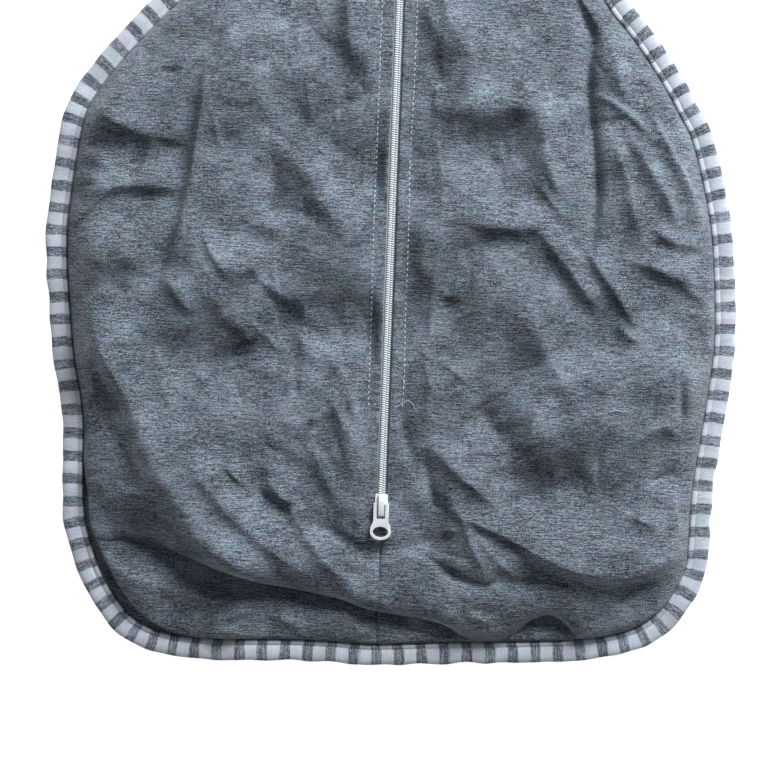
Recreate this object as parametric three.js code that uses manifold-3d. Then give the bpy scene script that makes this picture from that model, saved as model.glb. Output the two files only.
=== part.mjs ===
// A sleeveless baby sleeping bag, lying on its back with its two-way front zip closed.
// Millimetres. +Z is up, +Y runs from the hem to the neck, and the zip lies over the Y axis.
// The origin is on the floor under the middle of the bag. The left half mirrors the right half.
import * as THREE from "three";
import Module from "manifold-3d";
import { mergeVertices } from "three/addons/utils/BufferGeometryUtils.js";

const wasm = await Module();
wasm.setup();

// ---------------------------------------------------------------- driving dimensions
const GAP = 0.3; // clearance between pieces that touch
const SEAM_GAP = 0.8; // clearance between a panel and its binding
const JERSEY = 0.9; // thickness of the knitted fabric
const BINDING_WIDTH = 10.7;
const BINDING_HEIGHT = 3.2; // folded binding with the seam inside it
const BINDING_CHAMFER = 0.8;
const HEM_JOIN_X = -9; // where the two lengths of edge binding meet in the hem

const TAPE_TOP = 20; // height of the zip tape's upper face above the floor
const TAPE_THICKNESS = 0.6;
const TAPE_WIDTH = 12;
const COIL_OUTER = 2.15; // half the width of the closed chain
const COIL_INNER = 0.8; // half the slot between the coils, in which the slider's post runs
const COIL_HEIGHT = 1.7;
const ZIP_BOTTOM = -231;
const ZIP_TOP = 243.2;
const PANEL_ZIP_EDGE = 4.4; // the front panels stop here, clear of the sliders

const SLIDER_LENGTH = 12;
const MOUTH_HALF = 3.35; // half width where the closed chain enters
const SHOULDER_HALF = 4.05; // half width where the open chain enters
const PLATE = 0.9; // thickness of the slider's plates
const BOTTOM_SLIDER_Y = -223; // middle of each slider with the zip closed
const TOP_SLIDER_Y = 236;
const HINGE_Y = 0.8; // the pull's hinge, from the slider's middle
const HINGE_RISE = 1; // the hinge's axis above the slider's upper plate
const CAP_WIDTH = 3;
const PULL_THICKNESS = 1.1;

const GUARD_LEFT = -27; // edges of the strip behind the zip
const GUARD_RIGHT = 22;
const STITCH_X = 9; // topstitching, from the middle of the zip
const STITCH_BOTTOM = -170;

// Outer edges of the right half, as [x, y].
// From the middle of the hem, round the lower corner and the hip, to the waist and the underarm.
const SIDE_EDGE = [
  [0, -310], [60, -310], [105, -308], [138, -298], [158, -280], [169, -258], [173.5, -235],
  [175, -205], [180, -163], [184.4, -123], [185, -100], [183, -70], [177, -35], [166, -4],
  [146, 25], [126, 49], [112, 74], [106.5, 100], [106, 135], [108, 165],
];
const ARMHOLE_EDGE = [[108, 165], [99, 184], [94, 208], [93.5, 236], [98, 265], [106, 292]];
const FRONT_NECK_EDGE = [[PANEL_ZIP_EDGE, 251], [24, 254], [41, 266], [51, 285], [54, 309]];
const BACK_NECK_EDGE = [[54, 309], [44, 301], [26, 295], [0, 293]];

// ---------------------------------------------------------------- materials
const material = (color, roughness, metalness = 0) =>
  new THREE.MeshStandardMaterial({ color, roughness, metalness });
const greyJersey = material(0x6b737b, 0.95);
const stripedJersey = material(0xb4b6bc, 0.9);
const tapeCloth = material(0xd9dcdd, 0.85);
const coilNylon = material(0xdfe3e4, 0.4);
const whiteEnamel = material(0xeef1f1, 0.3, 0.1);
const springSteel = material(0xb8bcc0, 0.35, 0.9);
const thread = material(0xd0d4d8, 0.8);
const labelSatin = material(0xf4f3ef, 0.6);

// ---------------------------------------------------------------- mesh helpers
const point = ([x, y]) => new THREE.Vector3(x, y, 0);
const curveThrough = (points) =>
  new THREE.CatmullRomCurve3(points.map(point), false, "centripetal");
const mix = THREE.MathUtils.lerp;
const smooth = THREE.MathUtils.smoothstep;

// A closed mesh from vertices and triangles given by index.
function closedMesh(vertices, triangles) {
  const geometry = new THREE.BufferGeometry();
  const position = vertices.flatMap((v) => [v.x, v.y, v.z]);
  geometry.setAttribute("position", new THREE.Float32BufferAttribute(position, 3));
  geometry.setIndex(triangles);
  geometry.computeVertexNormals();
  return geometry;
}

// A solid through rings of points that all turn anticlockwise as seen from the last ring.
function loft(rings) {
  const size = rings[0].length;
  const vertices = rings.flat();
  const triangles = [];
  for (let ring = 0; ring + 1 < rings.length; ring++) {
    for (let i = 0; i < size; i++) {
      const a = ring * size + i;
      const b = ring * size + ((i + 1) % size);
      triangles.push(a, b, a + size, b, b + size, a + size);
    }
  }
  const last = (rings.length - 1) * size;
  for (let i = 1; i + 1 < size; i++) {
    triangles.push(0, i + 1, i);
    triangles.push(last, last + i, last + i + 1);
  }
  return closedMesh(vertices, triangles);
}

// A sheet of fabric over a grid of points on its underside, thickened upwards.
function sheet(rows) {
  const across = rows[0].length;
  const under = rows.flat();
  const over = under.map((v) => new THREE.Vector3(v.x, v.y, v.z + JERSEY));
  const count = under.length;
  const triangles = [];
  const quad = (a, b, c, d) => triangles.push(a, b, c, a, c, d);
  for (let r = 0; r + 1 < rows.length; r++) {
    for (let i = 0; i + 1 < across; i++) {
      const a = r * across + i;
      quad(count + a, count + a + 1, count + a + across + 1, count + a + across);
      quad(a, a + across, a + across + 1, a + 1);
    }
  }
  for (let i = 0; i + 1 < across; i++) {
    const top = (rows.length - 1) * across + i;
    quad(i, i + 1, count + i + 1, count + i);
    quad(top, count + top, count + top + 1, top + 1);
  }
  for (let r = 0; r + 1 < rows.length; r++) {
    const left = r * across;
    const right = left + across - 1;
    quad(left, count + left, count + left + across, left + across);
    quad(right, right + across, count + right + across, count + right);
  }
  return closedMesh([...under, ...over], triangles);
}

// A box between two corners.
function block([x0, y0, z0], [x1, y1, z1]) {
  const geometry = new THREE.BoxGeometry(x1 - x0, y1 - y0, z1 - z0);
  return geometry.translate((x0 + x1) / 2, (y0 + y1) / 2, (z0 + z1) / 2);
}

// A plan shape given thickness between two heights.
function plate(shape, low, high) {
  const geometry = new THREE.ExtrudeGeometry(shape, {
    depth: high - low,
    bevelEnabled: false,
    curveSegments: 10,
  });
  return geometry.translate(0, 0, low);
}

// A side view, with y across and z up, given width about x = 0.
function sideProfile(points, width) {
  const shape = new THREE.Shape(points.map(([y, z]) => new THREE.Vector2(y, z)));
  const geometry = new THREE.ExtrudeGeometry(shape, { depth: width, bevelEnabled: false });
  geometry.rotateX(Math.PI / 2);
  geometry.rotateZ(Math.PI / 2);
  return geometry.translate(-width / 2, 0, 0);
}

function solidOf(geometry) {
  const bare = new THREE.BufferGeometry();
  bare.setAttribute("position", geometry.getAttribute("position"));
  if (geometry.index) bare.setIndex(geometry.index);
  const merged = mergeVertices(bare, 1e-4);
  return new wasm.Manifold(
    new wasm.Mesh({
      numProp: 3,
      vertProperties: merged.attributes.position.array,
      triVerts: new Uint32Array(merged.index.array),
    }),
  );
}

function geometryOf(solid) {
  const mesh = solid.getMesh();
  const geometry = new THREE.BufferGeometry();
  const position = new THREE.Float32BufferAttribute(mesh.vertProperties, 3);
  geometry.setAttribute("position", position);
  geometry.setIndex(new THREE.Uint32BufferAttribute(mesh.triVerts, 1));
  geometry.computeVertexNormals();
  return geometry;
}

const bag = new THREE.Group();

function add(name, geometry, finish, { mirrored = false, y = 0, turned = false } = {}) {
  const mesh = new THREE.Mesh(geometry, finish);
  mesh.name = name;
  mesh.position.y = y;
  if (mirrored) mesh.scale.x = -1;
  if (turned) mesh.rotation.z = Math.PI;
  bag.add(mesh);
}

// The same geometry on the right and mirrored on the left.
function addPair(name, geometry, finish) {
  add(`${name}_right`, geometry, finish);
  add(`${name}_left`, geometry, finish, { mirrored: true });
}

// ---------------------------------------------------------------- binding
// The binding lies inwards of an edge: +1 to the left of the edge's direction, -1 to its right.
function edgeFrame(curve, u, side) {
  const at = curve.getPointAt(u);
  const along = curve.getTangentAt(u);
  const inward = new THREE.Vector3(-along.y, along.x, 0).multiplyScalar(side);
  return { at, inward };
}

// A folded binding along an edge, with its underside at underside(u).
function binding(edge, side, steps, underside) {
  const curve = curveThrough(edge);
  const c = BINDING_CHAMFER;
  const section = [
    [0, c], [c, 0], [BINDING_WIDTH - c, 0], [BINDING_WIDTH, c],
    [BINDING_WIDTH, BINDING_HEIGHT - c], [BINDING_WIDTH - c, BINDING_HEIGHT],
    [c, BINDING_HEIGHT], [0, BINDING_HEIGHT - c],
  ];
  const rings = [];
  for (let i = 0; i <= steps; i++) {
    const u = i / steps;
    const { at, inward } = edgeFrame(curve, u, side);
    const ring = section.map(([across, up]) =>
      at.clone().addScaledVector(inward, across).setZ(underside(u) + up),
    );
    rings.push(side > 0 ? ring : ring.reverse());
  }
  return loft(rings);
}

// A point just inside the binding of an edge, where a panel ends.
function seamPoint(curve, u, side) {
  const { at, inward } = edgeFrame(curve, u, side);
  return at.clone().addScaledVector(inward, BINDING_WIDTH + SEAM_GAP);
}

const onFloor = () => 0;
const ABOVE_BACK = BINDING_HEIGHT + GAP; // the front bindings pass over the back ones
const ARMHOLE_LIFT = 7.5; // how far the armhole's front edge stands off its back edge
const armholeHeight = (u) => ABOVE_BACK + ARMHOLE_LIFT * Math.sin(Math.PI * u);
const neckHeight = (u) => mix(TAPE_TOP + GAP, ABOVE_BACK, smooth(u, 0.1, 1));

function addBindings() {
  const sideSteps = 90;
  const toJoin = (x) => [[x, -310], ...SIDE_EDGE.slice(x > 0 ? 1 : 0)];
  const rightEdge = toJoin(HEM_JOIN_X + GAP / 2);
  const leftEdge = toJoin(-HEM_JOIN_X + GAP / 2);
  add("edge_binding_right", binding(rightEdge, 1, sideSteps, onFloor), stripedJersey);
  add("edge_binding_left", binding(leftEdge, 1, sideSteps, onFloor), stripedJersey, {
    mirrored: true,
  });
  const armhole = clearOfCorner(ARMHOLE_EDGE);
  addPair("armhole_binding_front", binding(armhole, 1, 14, armholeHeight), stripedJersey);
  addPair("armhole_binding_back", binding(armhole, 1, 14, onFloor), stripedJersey);
  addPair("neck_binding_front", binding(FRONT_NECK_EDGE, -1, 14, neckHeight), stripedJersey);
  const across = BACK_NECK_EDGE.slice(0, -1).map(([x, y]) => [-x, y]);
  const wholeNeck = [...BACK_NECK_EDGE, ...across.reverse()];
  add("neck_binding_back", binding(wholeNeck, 1, 24, onFloor), stripedJersey);
}

// The armhole's edge without its first few millimetres, which the side binding fills.
function clearOfCorner([[x, y], ...rest]) {
  return [[x - 2.6, y + 5.6], ...rest];
}

// ---------------------------------------------------------------- front panels
const SIDE_START = 0.12; // where the rows start along the side's edge, as a share of its length
const CORNER_END = 0.34; // the end of the rounded lower corner
const CORNER_ROWS = 14;
const HIP_ROWS = 20;
const UPPER_ROWS = 12;
const COLUMNS = 12;
const EDGE_Z = 1.9; // underside of the front panel at the side seam
const ZIP_EDGE_Z = TAPE_TOP + GAP; // underside of the front panel at the zip
const HEM_Y = -310 + BINDING_WIDTH + SEAM_GAP;
const HEM_RISE = 37; // length over which the front climbs from the hem to the zip's height
const SEAM_TOP = -242; // the halves are sewn together below here
const OPENING_START = -236;
const UNDERARM_BLEND = 0.9; // from here up the side, the front edge lifts towards the armhole
const NECK_SHARE = 0.45; // share of the upper rows that start on the zip and not on the neck

// One row of the front panel, from the zip or the neck to the side or the armhole.
function lowerRow(u, side) {
  const outer = seamPoint(side, u, 1);
  const y = u === SIDE_START ? HEM_Y : outer.y;
  const x = mix(GAP / 2, PANEL_ZIP_EDGE, smooth(y, SEAM_TOP, OPENING_START));
  const rise = smooth(y, HEM_Y, HEM_Y + HEM_RISE);
  outer.z = mix(EDGE_Z, ABOVE_BACK + 1, smooth(u, UNDERARM_BLEND, 1));
  return { inner: new THREE.Vector3(x, y, mix(EDGE_Z, ZIP_EDGE_Z, rise)), outer };
}

function upperRow(t, armhole, neck, underarmY) {
  const outer = seamPoint(armhole, t, 1);
  outer.z = mix(armholeHeight(t) + 1, JERSEY + GAP, smooth(t, 0.6, 1));
  if (t <= NECK_SHARE) {
    const y = mix(underarmY, FRONT_NECK_EDGE[0][1] - BINDING_WIDTH - SEAM_GAP, t / NECK_SHARE);
    return { inner: new THREE.Vector3(PANEL_ZIP_EDGE, y, ZIP_EDGE_Z), outer };
  }
  const u = (t - NECK_SHARE) / (1 - NECK_SHARE);
  const inner = seamPoint(neck, u, -1);
  inner.z = mix(neckHeight(u), JERSEY + GAP, smooth(u, 0.5, 1));
  return { inner, outer };
}

function frontPanel() {
  const side = curveThrough(SIDE_EDGE);
  const armhole = curveThrough(clearOfCorner(ARMHOLE_EDGE));
  const neck = curveThrough(FRONT_NECK_EDGE);
  const ends = [];
  for (let r = 0; r <= CORNER_ROWS; r++) {
    ends.push(lowerRow(mix(SIDE_START, CORNER_END, r / CORNER_ROWS), side));
  }
  for (let r = 1; r <= HIP_ROWS; r++) {
    ends.push(lowerRow(mix(CORNER_END, 1, r / HIP_ROWS), side));
  }
  const underarmY = ends.at(-1).outer.y + 1;
  for (let r = 0; r <= UPPER_ROWS; r++) {
    ends.push(upperRow(r / UPPER_ROWS, armhole, neck, underarmY));
  }
  const rows = ends.map(({ inner, outer }) => {
    const row = [];
    for (let i = 0; i <= COLUMNS; i++) {
      const s = 1 - (1 - i / COLUMNS) ** 1.3;
      const p = inner.clone().lerp(outer, s);
      p.z = mix(outer.z, inner.z, (1 - s ** 3.5) ** 0.85);
      row.push(p);
    }
    return row;
  });
  return sheet(rows);
}

// ---------------------------------------------------------------- back panel
function backPanel() {
  const outline = [];
  const follow = (edge, steps) => {
    const curve = curveThrough(edge);
    for (let i = 0; i <= steps; i++) outline.push(seamPoint(curve, i / steps, 1));
  };
  follow(SIDE_EDGE, 90);
  follow(clearOfCorner(ARMHOLE_EDGE), 10);
  follow(BACK_NECK_EDGE, 10);
  const left = outline.slice(1, -1).map((p) => new THREE.Vector3(-p.x, p.y, 0));
  const whole = [...outline, ...left.reverse()].map((p) => new THREE.Vector2(p.x, p.y));
  return plate(new THREE.Shape(whole), 0, JERSEY);
}

// ---------------------------------------------------------------- zip
function addZip() {
  const tapeLow = TAPE_TOP - TAPE_THICKNESS;
  const tape = block([COIL_INNER, ZIP_BOTTOM - 9, tapeLow], [TAPE_WIDTH, 249, TAPE_TOP]);
  addPair("zip_tape", tape, tapeCloth);

  const low = TAPE_TOP + GAP;
  const middle = (COIL_INNER + COIL_OUTER) / 2;
  const half = (COIL_OUTER - COIL_INNER) / 2;
  const ring = (y) => {
    const points = [];
    for (let i = 0; i < 10; i++) {
      const angle = (2 * Math.PI * i) / 10;
      const x = middle + half * Math.cos(angle);
      points.push(new THREE.Vector3(x, y, low + (COIL_HEIGHT / 2) * (1 + Math.sin(angle))));
    }
    return points.reverse();
  };
  addPair("zip_coil", loft([ring(ZIP_BOTTOM + 0.5), ring(ZIP_TOP)]), coilNylon);

  const stopStart = ZIP_TOP + GAP;
  const topStop = block([COIL_INNER, stopStart, low], [COIL_OUTER + 0.5, stopStart + 3, low + 2]);
  addPair("zip_top_stop", topStop, whiteEnamel);
  const stopLow = [-COIL_OUTER - 0.5, ZIP_BOTTOM - 3.3, low];
  const stopHigh = [COIL_OUTER + 0.5, ZIP_BOTTOM, low + COIL_HEIGHT];
  add("zip_bottom_stop", block(stopLow, stopHigh), whiteEnamel);

  const guardTop = tapeLow - GAP - PLATE - GAP;
  const guardLow = [GUARD_LEFT, ZIP_BOTTOM - 5, guardTop - 0.8];
  add("zip_guard", block(guardLow, [GUARD_RIGHT, 246, guardTop]), greyJersey);

  const threadLow = ZIP_EDGE_Z + JERSEY + GAP;
  const row = block([STITCH_X - 0.25, STITCH_BOTTOM, threadLow], [STITCH_X + 0.25, 238, threadLow + 0.4]);
  addPair("zip_topstitch", row, thread);
}

// ---------------------------------------------------------------- sliders
const CHANNEL_LOW = TAPE_TOP - TAPE_THICKNESS - GAP; // upper face of the lower plate
const CHANNEL_HIGH = TAPE_TOP + GAP + COIL_HEIGHT + GAP; // lower face of the upper plate
const SLIDER_TOP = CHANNEL_HIGH + PLATE;
const HINGE_Z = SLIDER_TOP + HINGE_RISE;
const PIN_Y = -2.2; // the lock's pin, from the slider's middle

// The slider's body, with its mouth towards +Y. pinY places the hole for the lock's pin.
function sliderBody(pinY) {
  const half = SLIDER_LENGTH / 2;
  const right = [
    [MOUTH_HALF - 0.7, half], [MOUTH_HALF - 0.2, half - 0.2], [MOUTH_HALF, half - 0.7],
    [MOUTH_HALF + 0.1, 1.5], [SHOULDER_HALF - 0.1, -1.8], [SHOULDER_HALF, -3.6],
    [SHOULDER_HALF - 0.5, -5.2], [SHOULDER_HALF - 1.6, -half],
  ];
  const left = right.map(([x, y]) => [-x, y]).reverse();
  const outline = new THREE.Shape([...left, ...right].map(([x, y]) => new THREE.Vector2(x, y)));
  const long = half + 1;
  const channel = COIL_OUTER + GAP;
  const outside = SHOULDER_HALF + 1;
  let body = solidOf(plate(outline, CHANNEL_LOW - PLATE, SLIDER_TOP));
  body = body.subtract(
    solidOf(block([-channel, -long, CHANNEL_LOW], [channel, long, CHANNEL_HIGH])),
  );
  const slot = block([-outside, -long, CHANNEL_LOW], [outside, long, TAPE_TOP + GAP]);
  body = body.subtract(solidOf(slot));
  const post = new THREE.CylinderGeometry(0.5, 0.5, CHANNEL_HIGH - CHANNEL_LOW + 0.4, 12);
  post.rotateX(Math.PI / 2).scale(1, 2, 1);
  post.translate(0, -half + 1.8, (CHANNEL_LOW + CHANNEL_HIGH) / 2);
  body = body.add(solidOf(post));
  const hole = block([-0.6, pinY - 0.8, CHANNEL_HIGH - 1], [0.6, pinY + 0.8, SLIDER_TOP + 1]);
  return geometryOf(body.subtract(solidOf(hole)));
}

// The arched cover that holds the pull's bar and the lock spring.
function sliderCap() {
  const low = SLIDER_TOP + GAP;
  const high = HINGE_Z + 1.7;
  const profile = [
    [5.9, low], [5.7, low + 0.7], [4.2, high - 0.7], [2.6, high - 0.1], [1.6, high],
    [-4.6, high], [-5.6, high - 0.5], [-6, high - 1.3], [-6, low],
  ];
  const cover = solidOf(sideProfile(profile, CAP_WIDTH));
  const cavityHigh = HINGE_Z + 1.05;
  const inside = solidOf(block([-0.95, -5.3, low - 1], [0.95, 2, cavityHigh]));
  const barRoom = solidOf(
    block([-CAP_WIDTH, HINGE_Y - 1.05, low - 1], [CAP_WIDTH, HINGE_Y + 1.05, cavityHigh]),
  );
  return geometryOf(cover.subtract(inside).subtract(barRoom));
}

// A leaf under the cap whose pin drops between the coils to lock the slider.
function lockSpring() {
  const leaf = solidOf(block([-0.6, -5, HINGE_Z + 0.2], [0.6, -0.7, HINGE_Z + 0.5]));
  const pinLow = CHANNEL_HIGH - 0.8;
  const pin = solidOf(block([-0.3, PIN_Y - 0.4, pinLow], [0.3, PIN_Y + 0.4, HINGE_Z + 0.4]));
  return geometryOf(leaf.add(pin));
}

// The pull: a bar on the hinge's axis, two arms round a window, and an oval finger ring.
function pull() {
  const armHalf = 4.1;
  const ring = { y: HINGE_Y - 14.75, halfWidth: 5.55, halfHeight: 4.3 };
  const outline = new THREE.Shape();
  const top = HINGE_Y + PULL_THICKNESS / 2;
  const waist = HINGE_Y - 8.4;
  outline.moveTo(-armHalf + 0.5, top);
  outline.quadraticCurveTo(-armHalf, top, -armHalf, top - 0.5);
  outline.lineTo(-armHalf, HINGE_Y - 5);
  outline.quadraticCurveTo(-armHalf + 0.2, waist, -armHalf - 0.1, waist - 1.6);
  outline.quadraticCurveTo(-ring.halfWidth, ring.y + 3, -ring.halfWidth, ring.y);
  outline.absellipse(0, ring.y, ring.halfWidth, ring.halfHeight, Math.PI, 2 * Math.PI, false);
  outline.quadraticCurveTo(ring.halfWidth, ring.y + 3, armHalf + 0.1, waist - 1.6);
  outline.quadraticCurveTo(armHalf - 0.2, waist, armHalf, HINGE_Y - 5);
  outline.lineTo(armHalf, top - 0.5);
  outline.quadraticCurveTo(armHalf, top, armHalf - 0.5, top);
  outline.closePath();

  const windowHalf = 2.2;
  const windowTop = HINGE_Y - PULL_THICKNESS / 2;
  const windowLow = HINGE_Y - 7.8;
  const window = new THREE.Path([
    new THREE.Vector2(-windowHalf, windowTop),
    new THREE.Vector2(-windowHalf, windowLow),
    new THREE.Vector2(windowHalf, windowLow),
    new THREE.Vector2(windowHalf, windowTop),
  ]);
  const finger = new THREE.Path();
  finger.absellipse(0, ring.y, 4, 2.75, 0, 2 * Math.PI, true);
  outline.holes.push(window, finger);
  return plate(outline, HINGE_Z - PULL_THICKNESS / 2, HINGE_Z + PULL_THICKNESS / 2);
}

// Both pulls point to the hem. The upper slider's body is turned so that its mouth faces down.
function addSlider(name, y, turned) {
  add(`${name}_slider_body`, sliderBody(turned ? -PIN_Y : PIN_Y), whiteEnamel, { y, turned });
  add(`${name}_slider_cap`, sliderCap(), whiteEnamel, { y });
  add(`${name}_slider_lock_spring`, lockSpring(), springSteel, { y });
  add(`${name}_slider_pull`, pull(), whiteEnamel, { y });
}

// ---------------------------------------------------------------- the bag
add("back_panel", backPanel(), greyJersey);
addPair("front_panel", frontPanel(), greyJersey);
addBindings();
addZip();
addSlider("bottom", BOTTOM_SLIDER_Y, false);
addSlider("top", TOP_SLIDER_Y, true);
const labelZ = JERSEY + GAP;
add("care_label", block([-15, 258, labelZ], [15, 276, labelZ + 0.4]), labelSatin);

export default bag;
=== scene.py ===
"""A jersey sleeping bag for a baby, lying on its back with its zip closed.

Lengths are in millimetres and are turned to metres when a mesh is made.
+Y runs from the hem to the neck, and the zip lies over the Y axis.
"""
import math

import bmesh
import bpy
import numpy as np
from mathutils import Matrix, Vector


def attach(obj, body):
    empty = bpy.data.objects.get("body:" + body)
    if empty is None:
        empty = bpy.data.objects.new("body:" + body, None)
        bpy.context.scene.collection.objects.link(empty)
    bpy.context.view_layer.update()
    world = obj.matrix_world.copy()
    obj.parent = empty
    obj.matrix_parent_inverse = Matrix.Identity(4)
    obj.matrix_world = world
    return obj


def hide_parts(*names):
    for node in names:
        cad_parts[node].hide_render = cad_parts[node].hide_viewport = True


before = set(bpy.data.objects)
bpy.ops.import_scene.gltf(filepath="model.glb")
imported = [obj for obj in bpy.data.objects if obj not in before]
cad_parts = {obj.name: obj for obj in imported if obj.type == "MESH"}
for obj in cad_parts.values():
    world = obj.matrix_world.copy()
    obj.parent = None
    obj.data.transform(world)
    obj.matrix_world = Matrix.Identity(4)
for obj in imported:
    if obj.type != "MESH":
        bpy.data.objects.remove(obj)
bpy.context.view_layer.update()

MM = 0.001
rng = np.random.default_rng(7)

# ------------------------------------------------------------------ driving dimensions
BINDING_WIDTH = 11.3
SEAM_TUCK = 0.4  # how far the panels' edges lie under the binding's lip
TAPE_Z = 20.3  # the front panels' height where they meet the zip
CHAIN_LOW = 20.3  # underside of the chain
CHAIN_MIDDLE = CHAIN_LOW + 0.85
ZIP_EDGE = 2.6  # folded edge of each front panel, from the middle of the zip
ZIP_START = -231
ZIP_END = 243
NECK_FRONT_Y = 251
SIDE_EDGE_Z = 0.4  # a front panel's height where it's sewn to the side's binding
SEAM_LIFT = 0.2  # a panel's edge above the underside of the binding on it
SHOULDER = 1.5  # how far the panels stand up from the seam beside the binding
ARMHOLE_LIFT = 7.5  # how far the front of an armhole gapes at its middle
ABOVE_BACK = 3.5  # where the front's edges lie on the back's binding

# Outer edges of the binding, from the middle of the hem to the underarm.
SIDE_RIGHT = [
    (0, -310), (40, -307.5), (80, -305.5), (108, -303.5), (130, -299.5), (146, -293.5),
    (160, -282.5), (170, -267), (175.5, -252), (176.5, -235), (177.5, -210), (181, -182),
    (185, -150), (186.5, -125), (185, -95), (181.3, -62), (171, -22), (161.5, -3),
    (149, 17.5), (134.5, 37.5), (120, 55), (110.5, 76), (106.5, 100), (106, 135), (108, 165),
]
SIDE_LEFT = [
    (0, -310), (-40, -309), (-80, -310), (-103, -309.5), (-122, -306), (-138, -298),
    (-151, -283.5), (-160, -268.5), (-166.5, -251), (-170.5, -234), (-171.5, -212),
    (-173, -180), (-178.5, -152), (-182.5, -118), (-184.7, -88), (-183.4, -62), (-178, -22),
    (-170, -3), (-155, 17.5), (-138, 37), (-122, 55), (-111, 76), (-106.5, 100),
    (-106, 135), (-108, 165),
]
ARMHOLE = [(105.4, 170.6), (99, 184), (94, 208), (93.5, 236), (98, 265), (106, 292)]
FRONT_NECK = [(4.4, 251), (24, 254), (41, 266), (51, 285), (54, 309)]
BACK_NECK = [(54, 309), (44, 301), (26, 295), (0, 293)]


# ------------------------------------------------------------------ lines and distances
def smoothstep(low, high, value):
    """0 up to low, 1 from high on, and smooth between them."""
    t = np.clip((value - low) / (high - low), 0, 1)
    return t * t * (3 - 2 * t)


def bell(value, width):
    """1 where the value is 0, falling smoothly to both sides."""
    return np.exp(-((value / width) ** 2))


def even(line, spacing=None, count=None):
    """The same line with evenly spaced points."""
    steps = np.linalg.norm(np.diff(line, axis=0), axis=1)
    lengths = np.r_[0, np.cumsum(steps)]
    if count is None:
        count = max(2, round(lengths[-1] / spacing) + 1)
    stations = np.linspace(0, lengths[-1], count)
    return np.column_stack([np.interp(stations, lengths, column) for column in line.T])


def smooth_line(points, spacing=None, count=None):
    """Evenly spaced points on a smooth curve through the given ones."""
    given = np.asarray(points, float)
    ends = np.vstack([2 * given[0] - given[1], given, 2 * given[-1] - given[-2]])
    t = np.linspace(0, 1, 24, endpoint=False)[:, None]
    pieces = []
    for a, b, c, d in zip(ends, ends[1:], ends[2:], ends[3:]):
        curve = 2 * b + (c - a) * t + (2 * a - 5 * b + 4 * c - d) * t**2
        pieces.append(0.5 * (curve + (3 * b - a - 3 * c + d) * t**3))
    return even(np.vstack(pieces + [given[-1:]]), spacing, count)


def left_normals(line):
    """Unit vectors to the left of a line's direction at each of its points."""
    along = np.gradient(line, axis=0)
    along /= np.linalg.norm(along, axis=1)[:, None]
    return np.column_stack([-along[:, 1], along[:, 0]])


def nearest(points, line):
    """For each point, its distance from a line, +1 to the line's left and -1 to its right,
    the share of the line's length passed there, and the line's left normal."""
    best = np.full(len(points), np.inf)
    side = np.zeros(len(points))
    passed = np.zeros(len(points))
    normal = np.zeros((len(points), 2))
    for i, (a, b) in enumerate(zip(line, line[1:])):
        step = b - a
        offset = points - a
        t = np.clip(offset @ step / (step @ step), 0, 1)
        gap = ((offset - t[:, None] * step) ** 2).sum(axis=1)
        closer = gap < best
        best[closer] = gap[closer]
        cross = step[0] * offset[:, 1] - step[1] * offset[:, 0]
        side[closer] = np.sign(cross[closer])
        passed[closer] = (i + t[closer]) / (len(line) - 1)
        normal[closer] = np.array([-step[1], step[0]]) / np.linalg.norm(step)
    return np.sqrt(best), side, passed, normal


class Ripple:
    """A gentle random relief made of sine waves, about -1 to 1 high."""

    def __init__(self, wavelength, waves=14):
        turn = rng.uniform(0, 2 * math.pi, waves)
        size = wavelength * rng.uniform(0.7, 1.5, waves)
        self.wave = np.vstack([np.cos(turn), np.sin(turn)]) * 2 * math.pi / size
        self.phase = rng.uniform(0, 2 * math.pi, waves)
        self.scale = math.sqrt(2 / waves) / 1.4

    def at(self, points):
        return np.sin(points @ self.wave + self.phase).sum(axis=1) * self.scale


# ------------------------------------------------------------------ folds of the front
FOLD_GAIN = 1.65  # stretches all the folds' heights
SOFTER = 1.2  # widens their steep sides
TAPER = 24  # length over which a fold rises at each end
TAPER_SHARES = (0.08, 0.36)  # least and most of the fold's length that it takes
TAPER_START = -0.04  # just past the fold's end, so that it keeps a little height there
FOLD_SPACING = 4
FOLD_REACH = 2.6  # how far a fold is felt, in widths
CREST = 1.55  # 2 makes round crests, and less makes them sharper
LEAN = 0.16  # how far a fold's crest leans over its steeper side, as a share of its height
UNDER_PULL = 0.2  # how far folds may rise beside the zip, where the pulls pass over them
PULL_SIDE = (6.5, 18)  # from the zip's middle, where that limit fades and is gone
HIGH = 26  # above this height the folds are pressed down softly
HIGH_ROOM = 8  # and never pass it by more than this

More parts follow.
